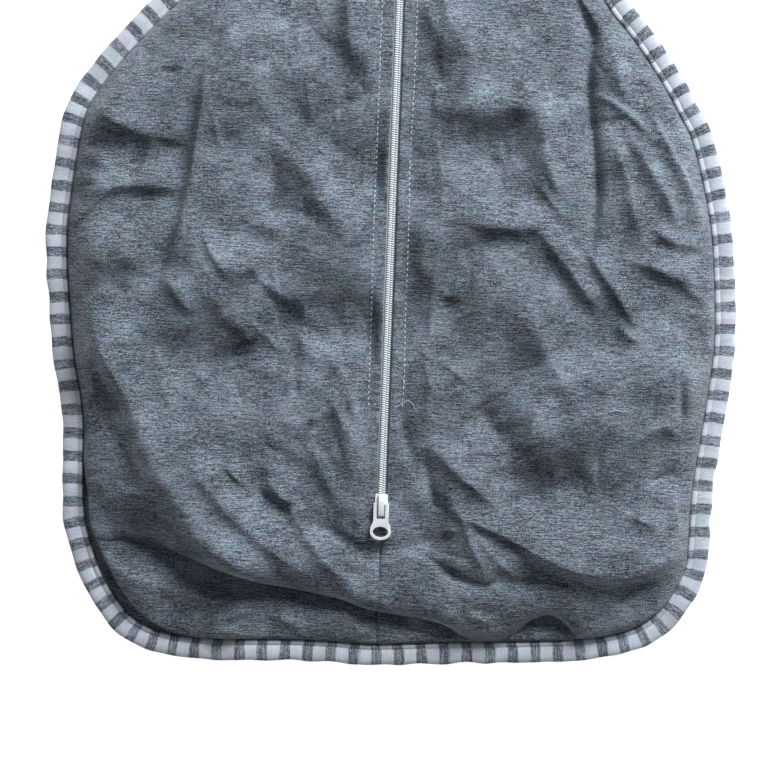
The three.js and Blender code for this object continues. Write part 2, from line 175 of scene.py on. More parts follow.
# Each fold is (points along its crest, height, width to the left, width to the right).
# Left and right are seen along the crest. The narrower side is the steeper one.
FOLDS_LEFT = [
    # sagging rolls from the hip down to the hem
    ([(-160, -112), (-151, -138), (-143, -158), (-131, -176), (-123, -195), (-116, -209),
      (-103, -226), (-90, -241), (-78, -252), (-64, -260), (-50, -264)], 7.5, 17, 9),
    ([(-104, -196), (-97, -206), (-87, -219), (-75, -231), (-64, -240), (-55, -247),
      (-44, -256), (-32, -262)], 5.0, 11, 4.4),
    ([(-88, -192), (-80, -203), (-71, -213)], 1.4, 5, 3),
    ([(-66, -202), (-60, -208), (-52, -219), (-44, -231), (-36, -243), (-28, -253),
      (-18, -261), (-4, -266)], 3.4, 9, 4.5),
    ([(-46, -180), (-40, -191), (-31, -207), (-24, -221), (-18, -233)], 1.6, 7, 4),
    ([(-30, -163), (-24, -175), (-18, -187), (-11, -198)], 2.4, 5, 3.5),
    ([(-20, -160), (-16, -173), (-10, -184)], 2, 3.5, 3),
    ([(-132, -202), (-126, -196), (-117, -189)], 1.6, 2.5, 4),
    ([(-168, -126), (-166, -138), (-162, -152)], 1.6, 4, 3),
    ([(-158, -146), (-150, -162), (-142, -174), (-134, -186)], -2.2, 5, 6),
    # long soft fold down the left side
    ([(-100, 12), (-101, -14), (-104, -35), (-106.5, -56), (-110, -80), (-114, -93),
      (-119, -104)], 3.0, 18, 2.8),
    ([(-119, -103), (-114, -111), (-108, -119), (-102, -127)], 2.2, 8, 3.6),
    ([(-94, 48), (-89, 26), (-83, 6), (-80, -16)], 3.4, 12, 12),
    # creases from the left edge
    ([(-170, -23), (-154, -24), (-143, -27), (-131, -31.5), (-116, -34), (-103, -38)], 1.9, 12, 2.4),
    ([(-154, -14), (-140, -11), (-126, -11)], 2, 9, 8),
    ([(-172, -84), (-161, -73), (-150, -61), (-139, -57.5), (-124, -58), (-108, -59)], 3.6, 9, 4),
    ([(-170, -87), (-162, -77), (-152, -65), (-145, -61)], -2.4, 2.2, 2.6),
    ([(-146, -63), (-130, -65), (-110, -64)], -2, 4, 5),
    ([(-170, -57), (-160, -56), (-151, -57)], 2, 4, 3),
    ([(-168, -64), (-159, -62), (-150, -57)], 1.5, 2.5, 2.5),
    ([(-140, -45), (-133, -48)], -2.5, 5, 5),
    ([(-168, -101), (-152, -97), (-136, -95), (-120, -98)], 5.5, 14, 12),
    ([(-144, 19), (-136, 16), (-126, 12)], -1, 5, 5),
    ([(-98, 24), (-92, 20)], -2, 6, 6),
    # small folds in the middle of the left half
    ([(-95, -93), (-88, -99), (-80, -101.5), (-70, -98), (-61, -91)], 2.6, 8, 4),
    ([(-76, -76), (-63, -79), (-53, -79)], 1.3, 6, 4),
    ([(-73, -22), (-65, -27), (-56, -33), (-43, -42)], -0.8, 1.6, 1.6),
    ([(-86, -15), (-80, -17.5), (-74, -11)], -0.7, 1.6, 1.6),
    ([(-32, -18), (-27, -13), (-22, -7)], -1.8, 1.8, 3),
    ([(-21, 0), (-17, -5), (-13, -12)], -0.7, 1.6, 1.6),
    ([(-26, 60), (-25.5, 34), (-23, 16), (-19, 2)], 4.4, 13, 4.4),
    ([(-17, 44), (-15, 28), (-12, 16)], -1.4, 3, 3),
    ([(-84, -138), (-77, -132), (-70, -128)], 1, 2.5, 4),
    ([(-98, -101), (-92, -108)], 0.8, 2.5, 2.5),
    ([(-108, -132), (-104, -146), (-100, -160), (-98, -172)], -2.2, 14, 12),
    ([(-80, -140), (-76, -150)], -1.8, 8, 8),
    ([(-94, -188), (-86, -194), (-78, -193)], -0.8, 5, 4),
]
FOLDS_RIGHT = [
    # folds beside the middle of the zip
    ([(20, 56), (25, 42), (31, 27), (39, 11)], 4, 5, 4.5),
    ([(13, 50), (16, 36), (22, 26), (36, 14)], 2, 5, 5),
    ([(20, 18), (21, 6), (24, -3)], -1.6, 4, 5),
    # the broad ledge right of the zip
    ([(19, -14), (40, -11), (58, -9.5), (73, -8), (86, 0)], 6, 17, 8),
    ([(78, -3), (79, -20), (81, -37), (86, -53), (90, -66)], 4.2, 12, 8),
    ([(28, -78), (36, -70), (46, -64), (58, -60)], 1.4, 3, 4),
    ([(30, -70), (44, -72), (60, -73.5), (76, -73), (84, -81), (93, -92), (103, -105),
      (114, -120)], 4.6, 10, 4.6),
    ([(86, -76), (95, -86), (104, -94)], 1.6, 2.5, 3),
    ([(96, -73), (104, -84), (111, -94), (119, -105), (127, -117), (136, -130)], 3.6, 9, 3.2),
    ([(119, -120), (126, -129), (135, -133)], 1.8, 2.5, 3),
    # the deep trough and the fan of creases at the right hip
    ([(92, 50), (98, 38), (102, 28), (100.5, 10), (102, -12), (105, -34), (106.5, -56),
      (105.5, -76), (105, -88)], -4.8, 3.4, 3.8),
    ([(102, -2), (112, -5), (124, -13), (139, -26)], 2.2, 1.8, 3),
    ([(113, 27), (118, 8), (124, -9)], 2.8, 6, 5),
    ([(125, 11), (133, 8), (141, -1)], 2, 3, 3),
    ([(133, -3), (138, -16), (144, -28), (151, -41), (159, -53), (166, -65), (172, -78)], 3.6, 2.6, 4.5),
    ([(118, -13), (127, -29), (137, -44), (146, -60), (154, -76)], 3, 3.2, 4.5),
    ([(111, -18), (119, -36), (124.5, -54), (128, -70), (134, -84)], 3, 3.2, 4.5),
    ([(139, 20), (147, 3), (154, -12), (160, -26)], -3, 4, 4),
    ([(134, -68), (145, -76), (159, -79.5), (178, -80)], 2.4, 4, 3),
    ([(118, -88), (136, -91), (150, -97), (178, -102)], 2.6, 8, 2.6),
    ([(152, -99), (165, -107), (179, -115)], 2, 3.4, 2.6),
    ([(166, -120), (167, -132), (168, -144)], -2.6, 4, 4),
    # soft hollows and the long roll across the right half
    ([(32, -106), (48, -107), (62, -114), (74, -130), (82, -146)], 6.5, 16, 18),
    ([(172, -136), (156, -146), (141, -156), (122, -167), (104, -178), (84, -187),
      (66, -190)], 8, 26, 15),
    ([(113, -203), (92, -212), (70, -222)], -3.4, 10, 9),
    ([(50, -168), (58, -180), (66, -190)], -3, 6, 6),
    ([(131, -189), (139, -182.5), (147, -178), (152, -179), (157, -185)], 2.4, 2.2, 3),
    ([(139, -208), (148, -204.5), (158, -199)], -2.6, 2.4, 2.4),
    ([(120, -170.5), (130, -171)], 0.8, 1.5, 1.5),
    ([(110, -172), (117, -178)], 0.8, 1.5, 1.5),
    ([(154, -208), (157, -222), (161, -237)], 3.4, 4, 3.6),
    ([(135, -198), (133, -220), (132, -242)], -1.7, 3, 3),
    ([(156, -150), (157, -165), (159, -178)], -2, 2.4, 2.4),
    # the sagging edge below the right hip
    ([(36, -224), (48, -228.5), (62, -234), (80, -243), (95, -250), (112, -254.5),
      (130, -255.5), (148, -249.5), (160, -241), (174, -228)], 4.2, 14, 3.6),
    ([(21, -187), (32, -196), (44, -207), (58, -218), (68, -227)], 2.8, 12, 3.4),
    ([(22, -193), (25, -212), (31, -227)], -2, 3, 3),
    ([(34, -210), (43, -229), (50, -246), (60, -264)], 1.6, 3, 3),
    ([(46, -232), (60, -248), (77, -263)], 1.4, 3, 3),
    ([(27, -252), (37, -259), (49, -263), (62, -265)], -2.2, 3, 3),
    ([(58, -262), (82, -262), (112, -261)], -2.2, 3.5, 5),
    ([(124, -274), (138, -264), (150, -256)], -2.4, 5, 5),
    # beside the lower end of the zip
    ([(7, -163), (10, -180), (15, -197), (20, -210)], -2.4, 5.5, 4),
    ([(20, -143), (22.6, -156), (22.6, -170), (21, -186)], 0.9, 1.5, 1.5),
    ([(20, -12), (23, -38), (25.5, -60), (23.5, -100), (21, -146)], 0.6, 1.4, 1.6),
]
# Dips and rises that cross the zip, as (middle y, half length, height).
ZIP_WAVES = [(-15, 22, 1.6), (-50, 12, -2.4), (-90, 20, 2.2), (-128, 16, -2), (-158, 12, 1.2)]
ZIP_WAVES_REACH = 30  # how far to each side they go
# The arc pressed into the cloth under the slider's ring.
RING_HOLLOW = [(-24, -241), (-12, -246.5), (0, -248), (14, -244.5), (32, -239)]
RING_HOLLOW_DEPTH = 1.8
RING_HOLLOW_WIDTH = 4.5
# The seam that joins the halves below the zip, as a dip in the cloth.
SEAM_TOP = (-244, -236)  # where the seam ends and where the zip's opening starts
SEAM_DIP = 1.1
SEAM_DIP_WIDTH = 1.2

# The front sags towards the hem and overhangs it. This is the lower edge of the sag.
LIP = [
    (-176, -228), (-160, -243), (-148, -247.5), (-134, -247.5), (-118, -250), (-104, -254),
    (-90, -259.5), (-74, -263.5), (-58, -267), (-40, -270), (-20, -273.5), (-8, -277.5),
    (8, -280.5), (24, -282.5), (37, -286), (45, -291.5), (54, -294), (64, -294), (72, -290.5),
    (80, -283.5), (87, -279), (94, -278.5), (101, -283.5), (107, -291), (114, -297),
    (124, -302), (150, -310), (180, -312),
]
# Width of the sag's rounded flank, as (x, width).
SAG_FLANK = [(-175, 26), (-145, 25), (-115, 20), (-80, 12), (-40, 8.5), (0, 7), (90, 6.5), (180, 8)]
FLANK_CLOTH = 11  # how much more cloth the flank takes than its width on the floor
FLANK_ROLL = 1.2  # height of the roll along the flank's top
FLANK_ROLL_WIDTH = 8
OVERHANG = 1.8  # how far the sag stands out over its lower edge
OVERHANG_START = (-110, -50)  # where along x it starts and is full
OVERHANG_PLACE = (2.5, 3.5)  # its middle above the sag's edge, and its width
APRON_Z = 5.5  # height of the cloth tucked under the sag
APRON_RISE = 4  # the front's height over which the tucked cloth reaches its own
# Folds of the tucked cloth, in the same form as the folds above.
FOLDS_APRON = [
    ([(-150, -222), (-148, -240), (-142, -255), (-134, -268), (-123, -279), (-108, -288),
      (-86, -292), (-64, -295)], 1.8, 14, 8),
    ([(-146, -260), (-128, -267), (-108, -274), (-84, -277.5), (-58, -280)], 2.6, 5, 7),
    ([(-94, -290), (-84, -287.5), (-72, -284), (-62, -283)], 2, 3, 2.6),
    ([(-90, -297), (-80, -294), (-70, -295)], 1.8, 3, 3),
    ([(-58, -286), (-46, -288), (-38, -293)], 1.6, 3, 3),
    ([(10, -281), (22, -284), (36, -290)], 2, 4, 4),
    ([(-12, -288), (-6, -295)], 1.4, 2.5, 2.5),
]
# The tucked cloth's edge, where it doesn't reach the binding and leaves a deep gap.
GAP_EDGE = [
    (-161, -206), (-157.5, -222), (-155.5, -240), (-149, -255), (-141.5, -268), (-133, -280),
    (-123, -289.5), (-112, -295.5), (-100, -299),
]
GAP_SIDES = (-1.4, 0.3)  # across its edge, where the gap starts and is at its full depth
GAP_REACH = 14
GAP_Z = 0.1


def fold_relief(flat, folds):
    """The height and the sideways lean that a list of folds gives to points of the cloth."""
    rise = np.zeros(len(flat))
    lean = np.zeros((len(flat), 2))
    for points, height, left, right in folds:
        line = smooth_line(points, spacing=FOLD_SPACING)
        reach = FOLD_REACH * max(left, right)
        low, high = line.min(axis=0) - reach, line.max(axis=0) + reach
        near = np.flatnonzero(((flat > low) & (flat < high)).all(axis=1))
        if not len(near):
            continue
        gap, side, passed, normal = nearest(flat[near], line)
        narrow = min(left, right) * SOFTER
        width = np.maximum(np.where(side > 0, left, right), narrow)
        taper = np.clip(TAPER / (FOLD_SPACING * len(line)), *TAPER_SHARES)
        start = smoothstep(TAPER_START, taper, passed)
        ends = start * smoothstep(TAPER_START, taper, 1 - passed)
        bump = FOLD_GAIN * height * ends * np.exp(-((gap / width) ** CREST))
        rise[near] += bump
        steeper = (left < right) - (right < left)
        lean[near] += LEAN * steeper * np.abs(bump)[:, None] * normal
    return rise, lean


# Where wrinkles start, from the middle of the bag and along it.
WRINKLES_X = (14, 172)
WRINKLES_Y = (-285, 230)
SAG_PULL_Y = -110  # below this they run to the middle of the sag
SAG_MIDDLE_Y = -262
HIP_X = 105  # outside this and above HIP_Y they run to the hip's edge
HIP_Y = -130
DOWN_LEAN = 0.15  # elsewhere they run down and a little to the middle
EDGE_LEAN = 0.3  # how much those at the hip rise on their way out
TURN_SPREAD = 0.45
BEND_SPREAD = 0.4
WRINKLE_STEPS = 4
RISING_SHARE = 0.7  # the others are dips, of DIP_DEPTH times the height
DIP_DEPTH = 0.8
STEEP_SIDE = (0.45, 0.9)  # the steeper side's share of the width


def wrinkles(sign, count, lengths, heights, widths):
    """Soft creases of a front half, which run the way that its cloth is pulled."""
    down = math.atan2(-1, -DOWN_LEAN * sign)
    to_edge = math.atan2(EDGE_LEAN, sign)
    found = []
    for _ in range(count):
        x = sign * rng.uniform(*WRINKLES_X)
        y = rng.uniform(*WRINKLES_Y)
        to_sag = math.atan2(SAG_MIDDLE_Y - y, -x) if y < SAG_PULL_Y else down
        hip = abs(x) > HIP_X and y > HIP_Y
        turn = (to_edge if hip else to_sag) + rng.normal(0, TURN_SPREAD)
        length = rng.uniform(*lengths)
        bend = rng.normal(0, BEND_SPREAD)
        line = [(x, y)]
        for _ in range(WRINKLE_STEPS):
            x += length / WRINKLE_STEPS * math.cos(turn)
            y += length / WRINKLE_STEPS * math.sin(turn)
            turn += bend / WRINKLE_STEPS
            line.append((x, y))
        height = rng.uniform(*heights) * (1 if rng.random() < RISING_SHARE else -DIP_DEPTH)
        wide = rng.uniform(*widths)
        steep = wide * rng.uniform(*STEEP_SIDE)
        sides = (wide, steep) if rng.random() < 0.5 else (steep, wide)
        found.append((line, height, *sides))
    return found


def loose_folds(sign):
    """Broad soft folds and fine creases that no list of folds names one by one."""
    broad = wrinkles(sign, 34, lengths=(40, 90), heights=(1.2, 2.6), widths=(7, 13))
    fine = wrinkles(sign, 240, lengths=(10, 38), heights=(0.4, 1.2), widths=(1.8, 4.5))
    return broad + fine


RIPPLES = [(Ripple(80), 2.6), (Ripple(38), 0.9), (Ripple(15), 0.26)]  # relief, height


def ripple_height(flat):
    return sum(height * relief.at(flat) for relief, height in RIPPLES)


lip_line = smooth_line(LIP, spacing=2)
gap_edge = smooth_line(GAP_EDGE, spacing=FOLD_SPACING)
lip_slope = np.gradient(lip_line[:, 1], lip_line[:, 0])


def sag(flat, full_height):
    """The cloth's height, its shift along Y, and how far up the sag it is, from 0 to 1."""
    x, y = flat.T
    lip_y = np.interp(x, lip_line[:, 0], lip_line[:, 1])
    slope = np.interp(x, lip_line[:, 0], lip_slope)
    above = (y - lip_y) / np.sqrt(1 + slope**2)
    flank = np.interp(x, *zip(*SAG_FLANK))
    down = 1 - np.clip(above / flank, 0, 1)
    over = np.sqrt(1 - down**2)
    roll = FLANK_ROLL * bell(above - flank, FLANK_ROLL_WIDTH)
    apron = APRON_Z + fold_relief(flat, FOLDS_APRON)[0]
    apron = apron * (1 - np.exp(-full_height / APRON_RISE))
    height = apron + (full_height + roll - apron) * over
    gap, side, passed, _ = nearest(flat, gap_edge)
    in_gap = smoothstep(*GAP_SIDES, -gap * side) * (passed > 0) * (passed < 1) * (gap < GAP_REACH)
    height = height * (1 - in_gap) + GAP_Z * in_gap
    middle, width = OVERHANG_PLACE
    shift = -OVERHANG * smoothstep(*OVERHANG_START, x) * bell(above - middle, width)
    return height, shift, over


PLUMP_Z = 19.4  # height of the front's middle, away from the zip
ZIP_RISE = 0.9  # how far the cloth beside the zip stands over its edges
ZIP_REACH = 16  # distance over which the zip's height fades into the front's
ZIP_FLAT = 4  # half width of the level strip at the zip
EDGE_SHARE = 0.2  # how much of the height is reached close to the border
EDGE_REACH = 5
BODY_REACH = 34
FULLNESS = 0.4  # less makes the front rise sooner from its border
FREE_FROM_EDGE = 14  # folds are at their full height this far from the border
SHOULDER_RISE = (0.1, 1.3)  # from the binding's lip, where the shoulder starts and is full
FREE_FROM_ZIP = (3, 10)  # from the zip's middle, where folds start and are full


def plump_height(x, gap, border_z):
    """Height of the filled front, from the border that it's sewn to up to its middle."""
    near_zip = np.exp(-np.maximum(np.abs(x) - ZIP_FLAT, 0) / ZIP_REACH)
    close = EDGE_SHARE * (1 - np.exp(-gap / EDGE_REACH))
    fill = close + (1 - EDGE_SHARE) * (1 - np.exp(-gap / BODY_REACH))
    inner = PLUMP_Z + (TAPE_Z + ZIP_RISE - PLUMP_Z) * near_zip
    return border_z + (inner - border_z) * fill / (fill + FULLNESS * (1 - fill))


def middle_waves(flat):
    """Dips and rises across the zip, with the hollow under the slider's ring."""
    x, y = flat.T
    waves = sum(height * bell(y - middle, length) for middle, length, height in ZIP_WAVES)
    hollow_gap = nearest(flat, smooth_line(RING_HOLLOW, spacing=FOLD_SPACING))[0]
    hollow = RING_HOLLOW_DEPTH * bell(hollow_gap, RING_HOLLOW_WIDTH)
    return waves * bell(np.abs(x), ZIP_WAVES_REACH) - hollow


def kept_low(x, relief):
    """Relief that stays under the paths of the zip's pulls."""
    return np.minimum(relief, UNDER_PULL + (relief - UNDER_PULL) * smoothstep(*PULL_SIDE, np.abs(x)))


def pressed_down(z):
    """Heights with the highest ones pressed down softly."""
    return np.where(z > HIGH, HIGH + HIGH_ROOM * (1 - np.exp((HIGH - z) / HIGH_ROOM)), z)


def drape(flat, half):
    """Where points of a front half lie. They are given on the flat pattern of that half."""
    flat = np.asarray(flat, float)
    x, y = flat.T
    gap, _, passed, _ = nearest(flat, half["border"])
    border_z = np.interp(passed, np.linspace(0, 1, len(half["border_z"])), half["border_z"])
    height, shift, over = sag(flat, plump_height(x, gap, border_z))
    rise, lean = fold_relief(flat, half["folds"])
    free = smoothstep(0, FREE_FROM_EDGE, gap)
    on_zip = smoothstep(*SEAM_TOP, y)
    off_zip = 1 - on_zip * (1 - smoothstep(*FREE_FROM_ZIP, np.abs(x)))
    loose = free * off_zip * over
    relief = loose * (rise + middle_waves(flat)) + free * off_zip * ripple_height(flat)
    z = pressed_down(height + kept_low(x, relief))
    z = np.maximum(z - (1 - on_zip) * SEAM_DIP * bell(x, SEAM_DIP_WIDTH), 0)
    start, end = SHOULDER_RISE
    z = z + SHOULDER * smoothstep(SEAM_TUCK + start, SEAM_TUCK + end, gap)
    place = np.column_stack([x, y, z])
    place[:, :2] += lean * loose[:, None]
    place[:, 1] += shift * free
    return place


# ------------------------------------------------------------------ meshes
def scene_object(name, data):
    """A new object in the scene, for a mesh, a light or a camera."""
    new = bpy.data.objects.new(name, data)
    bpy.context.scene.collection.objects.link(new)
    return new


def cloth_uv(mesh, uv):
    """Gives a mesh the cloth's own flat coordinates in metres, one for each corner."""
    layer = mesh.uv_layers.new(name="Cloth")
    layer.data.foreach_set("uv", (np.asarray(uv) * MM).astype(np.float32).ravel())


def make_object(name, vertices, faces, corner_uv=None):
    """A smooth-shaded mesh from vertices in millimetres."""
    mesh = bpy.data.meshes.new(name)
    mesh.from_pydata((np.asarray(vertices) * MM).tolist(), [], faces)
    mesh.polygons.foreach_set("use_smooth", [True] * len(faces))
    if corner_uv is not None:
        cloth_uv(mesh, corner_uv)
    mesh.update()
    return scene_object(name, mesh)


def grid_faces(rows, columns, flipped, wrapped=False):
    """Four-sided faces of a grid. A wrapped grid closes across its columns."""
    across = columns if wrapped else columns - 1
    faces = []
    corners = []
    for r in range(rows - 1):
        for c in range(across):
            n = (c + 1) % columns
            face = [r * columns + c, r * columns + n, (r + 1) * columns + n, (r + 1) * columns + c]
            corner = [(r, c), (r, c + 1), (r + 1, c + 1), (r + 1, c)]
            if flipped:
                face.reverse()
                corner.reverse()
            faces.append(face)
            corners.extend(corner)
    return faces, np.array(corners)


def cloth_grid(name, flat, places, flipped):
    """A cloth surface from a grid of flat points and the places they are draped to."""
    rows, columns, _ = flat.shape
    faces, corners = grid_faces(rows, columns, flipped)
    uv = flat[corners[:, 0], corners[:, 1]]
    return make_object(name, places.reshape(-1, 3), faces, uv)


def thicken(piece, thickness):
    """Gives a cloth surface its thickness, on its under side."""
    solidify = piece.modifiers.new("Thickness", "SOLIDIFY")
    solidify.thickness = thickness * MM
    solidify.offset = -1


# ------------------------------------------------------------------ panels
COLUMNS = 176
# Bands of rows as (their top, how many they have).
ROW_BANDS = [(-205, 185), (45, 190), (300, 90)]
BACK_BANDS = [(-205, 40), (45, 60), (300, 60)]
BACK_COLUMNS = 50
# Numbers of points along a pattern's borders.
SIDE_POINTS = 300
EDGE_POINTS = 60
SHOULDER_POINTS = 18
ARMHOLE_START = 0.88  # share of the side's length at which its edge starts to rise
NECK_START = 0.1  # the same for the fall of the neck's edge
NECK_GAP = 0.3  # how far the neck's binding lies above the tape
NECK_FROM_ZIP = 0.5  # how far outside the zip's edge the neck's edge starts
ZIP_OPENS = (-235.5, -233)  # where the halves part below the zip
SEAM_HALF = 0.04  # from the middle to each half's edge, in the seam
TUCK_BACK = 0.5  # how the front's folded edge at the zip turns under
TUCK_DROP = 1.3
TUCK_LOWEST = 0.1
BACK_Z = 1.0
BACK_UNEVEN = (0.35, 0.2)  # its middle height above BACK_Z, and its swing
BACK_HIGHEST = 0.8  # above BACK_Z
BACK_THICKNESS = 0.9


def inset_line(edge, inward_side, count):
    """The line along the inner edge of the binding."""
    line = smooth_line(edge, count=count)
    return line + left_normals(line) * inward_side * (BINDING_WIDTH - SEAM_TUCK)


def on_floor(u):
    return np.zeros_like(u)


def armhole_height(u):
    return ABOVE_BACK + ARMHOLE_LIFT * np.sin(np.pi * u)


def neck_height(u):
    top = TAPE_Z + NECK_GAP
    return top + (ABOVE_BACK - top) * smoothstep(NECK_START, 1, u)


def half_pattern(sign, side, folds, neck_edge, neck_z, armhole_z):
    """Borders of the flat pattern of half of a layer. sign is +1 for the right half."""
    mirror = np.array([sign, 1])
    side_line = inset_line(side, sign, SIDE_POINTS)
    armhole = inset_line(np.array(ARMHOLE) * mirror, sign, EDGE_POINTS)
    neck = inset_line(np.array(neck_edge) * mirror, -sign, EDGE_POINTS)
    neck = neck[np.abs(neck[:, 0]) > ZIP_EDGE + NECK_FROM_ZIP]
    shoulder = np.linspace(armhole[-1], neck[-1], SHOULDER_POINTS + 2)[1:-1]
    corner = int(np.argmax(np.abs(side_line[:, 0]) - side_line[:, 1]))  # where the hem turns up
    along = smoothstep(ARMHOLE_START, 1, np.linspace(0, 1, SIDE_POINTS))
    side_z = SIDE_EDGE_Z + (armhole_z(0) - SIDE_EDGE_Z) * along
    around = np.linspace(0, 1, EDGE_POINTS)
    neck_heights = neck_z(np.linspace(0, 1, len(neck)))
    return {
        "sign": sign,
        "folds": folds,
        "hem": side_line[: corner + 1],
        "outer": np.vstack([side_line[corner:], armhole]),
        "neck": neck,
        "shoulder": shoulder,
        "border": np.vstack([side_line, armhole, shoulder, neck[::-1]]),
        "border_z": np.r_[
            side_z,
            armhole_z(around),
            np.linspace(armhole_z(1), neck_heights[-1], len(shoulder)),
            neck_heights[::-1],
        ],
    }


def with_top(half, start):
    """A half with its top border, from the middle along the neck and the shoulder."""
    half["top"] = np.vstack([start, half["neck"], half["shoulder"][::-1], half["outer"][-1:]])
    return half


def front_half(sign, side, folds):
    """The pattern of a front half, with the heights of its sewn edges."""
    half = half_pattern(
        sign, side, folds, FRONT_NECK,
        lambda u: neck_height(u) + SEAM_LIFT,
        lambda u: armhole_height(u) + SEAM_LIFT,
    )
    start = [[sign * ZIP_EDGE, NECK_FRONT_Y - BINDING_WIDTH]]
    return with_top(half, start)


def back_half(sign, side):
    """The pattern of half of the back, which lies flat."""
    half = half_pattern(sign, side, [], BACK_NECK[::-1], on_floor, on_floor)
    return with_top(half, [[0, half["neck"][0, 1]]])


def banded(line, row_bands):
    """A line from the hem to the top, cut into bands that have their own numbers of points."""
    starts = [0]
    for top, _ in row_bands[:-1]:
        starts.append(int(np.argmax(line[:, 1] > top)))
    starts.append(len(line) - 1)
    bands = []
    for start, end, (_, count) in zip(starts, starts[1:], row_bands):
        bands.append(even(line[start : end + 1], count=count + 1)[:-1])
    return bands + [line[-1:]]


def pattern_grid(half, columns=COLUMNS, row_bands=ROW_BANDS, edge=ZIP_EDGE):
    """A grid of flat points that fills one half of a layer between its four borders."""
    sign = half["sign"]
    hem = even(half["hem"], count=columns)
    top = even(half["top"], count=columns)
    middle = min(SEAM_HALF, edge)
    hem[0, 0] = middle * sign
    inner_line = np.array([hem[0], (sign * edge, row_bands[0][0]), top[0]])
    outer = np.vstack(banded(half["outer"], row_bands))
    inner_y = np.vstack(banded(even(inner_line, count=400), row_bands))[:, 1]
    inner_x = middle + (edge - middle) * smoothstep(*ZIP_OPENS, inner_y)
    inner = np.column_stack([sign * inner_x, inner_y])
    s = np.linspace(0, 1, columns)[None, :, None]
    t = np.linspace(0, 1, len(outer))[:, None, None]
    between_ends = (1 - t) * hem[None] + t * top[None]
    between_sides = (1 - s) * inner[:, None] + s * outer[:, None]
    at_hem = (1 - s) * (1 - t) * inner[0] + s * (1 - t) * hem[-1]
    at_top = (1 - s) * t * inner[-1] + s * t * top[-1]
    return between_ends + between_sides - (at_hem + at_top)


def flat_area(flat):
    """Area of a grid of flat points, in square metres."""
    a = flat[1:, 1:] - flat[:-1, :-1]
    b = flat[1:, :-1] - flat[:-1, 1:]
    return float(np.abs(a[..., 0] * b[..., 1] - a[..., 1] * b[..., 0]).sum() / 2 * MM * MM)


def back_panel(name):
    """The back lies flat, with its upper face a little uneven."""
    grids = [
        pattern_grid(back_half(sign, side), BACK_COLUMNS, BACK_BANDS, edge=0.0)
        for sign, side in ((-1, SIDE_LEFT), (1, SIDE_RIGHT))
    ]
    flat = np.concatenate([grids[0][:, ::-1], grids[1][:, 1:]], axis=1)
    points = flat.reshape(-1, 2)
    middle, swing = BACK_UNEVEN
    uneven = np.clip(middle + swing * Ripple(30).at(points), 0, BACK_HIGHEST)
    piece = cloth_grid(name, flat, np.column_stack([points, BACK_Z + uneven]), flipped=False)
    thicken(piece, BACK_THICKNESS)
    return piece, flat_area(flat)


def own_places(flat):
    """Flat points moved to where they lie in the cloth itself, which also runs down the sag."""
    over = sag(flat.reshape(-1, 2), TAPE_Z)[2].reshape(flat.shape[:2])
    return np.dstack([flat[..., 0], flat[..., 1] - FLANK_CLOTH * (1 - over)])


def front_panel(name, half):
    """Half of the front, with its edge folded under beside the zip."""
    flat = pattern_grid(half)
    places = drape(flat.reshape(-1, 2), half).reshape(*flat.shape[:2], 3)
    half["area"] = flat_area(flat)
    flat = own_places(flat)
    tuck = places[:, :1] + np.array([half["sign"] * TUCK_BACK, 0, -TUCK_DROP])
    tuck[..., 2] = np.maximum(tuck[..., 2], TUCK_LOWEST)
    places = np.concatenate([tuck, places], axis=1)
    flat_tuck = flat[:, :1] - np.array([half["sign"] * TUCK_DROP, 0])
    flat = np.concatenate([flat_tuck, flat], axis=1)
    return cloth_grid(name, flat, places, flipped=half["sign"] < 0)


# ------------------------------------------------------------------ materials
def new_material(name, roughness, metallic=0.0):
    material = bpy.data.materials.new(name)
    material.use_nodes = True
    shader = material.node_tree.nodes["Principled BSDF"]
    shader.inputs["Roughness"].default_value = roughness
    shader.inputs["Metallic"].default_value = metallic
    return material, shader


class Nodes:
    """A short way to add and join nodes in one tree."""

    def __init__(self, tree):
        self.tree = tree

    def add(self, kind, **settings):
        node = self.tree.nodes.new(kind)
        inputs = settings.pop("inputs", {})
        for key, value in settings.items():
            setattr(node, key, value)
        for key, value in inputs.items():
            if isinstance(value, bpy.types.NodeSocket):
                self.tree.links.new(value, node.inputs[key])
            else:
                node.inputs[key].default_value = value
        return node

    def math(self, operation, a, b=0.0, clamp=False):
        node = self.add("ShaderNodeMath", operation=operation, use_clamp=clamp, inputs={0: a, 1: b})
        return node.outputs[0]

    def mix(self, factor, a, b, blend="MIX"):
        colors = {0: factor, 6: a, 7: b}
        node = self.add("ShaderNodeMix", data_type="RGBA", blend_type=blend, inputs=colors)
        return node.outputs[2]

    def noise(self, vector, scale, stretch=(1, 1, 1), detail=3.0, roughness=0.5):
        mapping = self.add("ShaderNodeMapping", inputs={"Vector": vector, "Scale": stretch})
        looks = {"Scale": scale, "Detail": detail, "Roughness": roughness}
        node = self.add("ShaderNodeTexNoise", inputs={"Vector": mapping.outputs[0], **looks})
        return node.outputs["Fac"]

    def spread(self, value, low, high):
        """0 below low, 1 above high, and smooth between them."""
        node = self.add(
            "ShaderNodeMapRange",
            interpolation_type="SMOOTHSTEP",
            inputs={"Value": value, "From Min": low, "From Max": high},
        )
        return node.outputs["Result"]

    def wave(self, place, pitch):
        """A sine wave along one coordinate, with its pitch in millimetres."""
        return self.math("SINE", self.math("MULTIPLY", place, 2 * math.pi / (pitch * MM)))

    def feed(self, value, shader, socket):
        self.tree.links.new(value, shader.inputs[socket])


def rgb(red, green, blue):
    """A colour from its display values, 0 to 255."""
    def linear(value):
        value /= 255
        return value / 12.92 if value <= 0.04045 else ((value + 0.055) / 1.055) ** 2.4
    return (linear(red), linear(green), linear(blue), 1.0)


NOISE_SCALE = 1000  # so that a stretch of 1 gives grains of about 1 mm
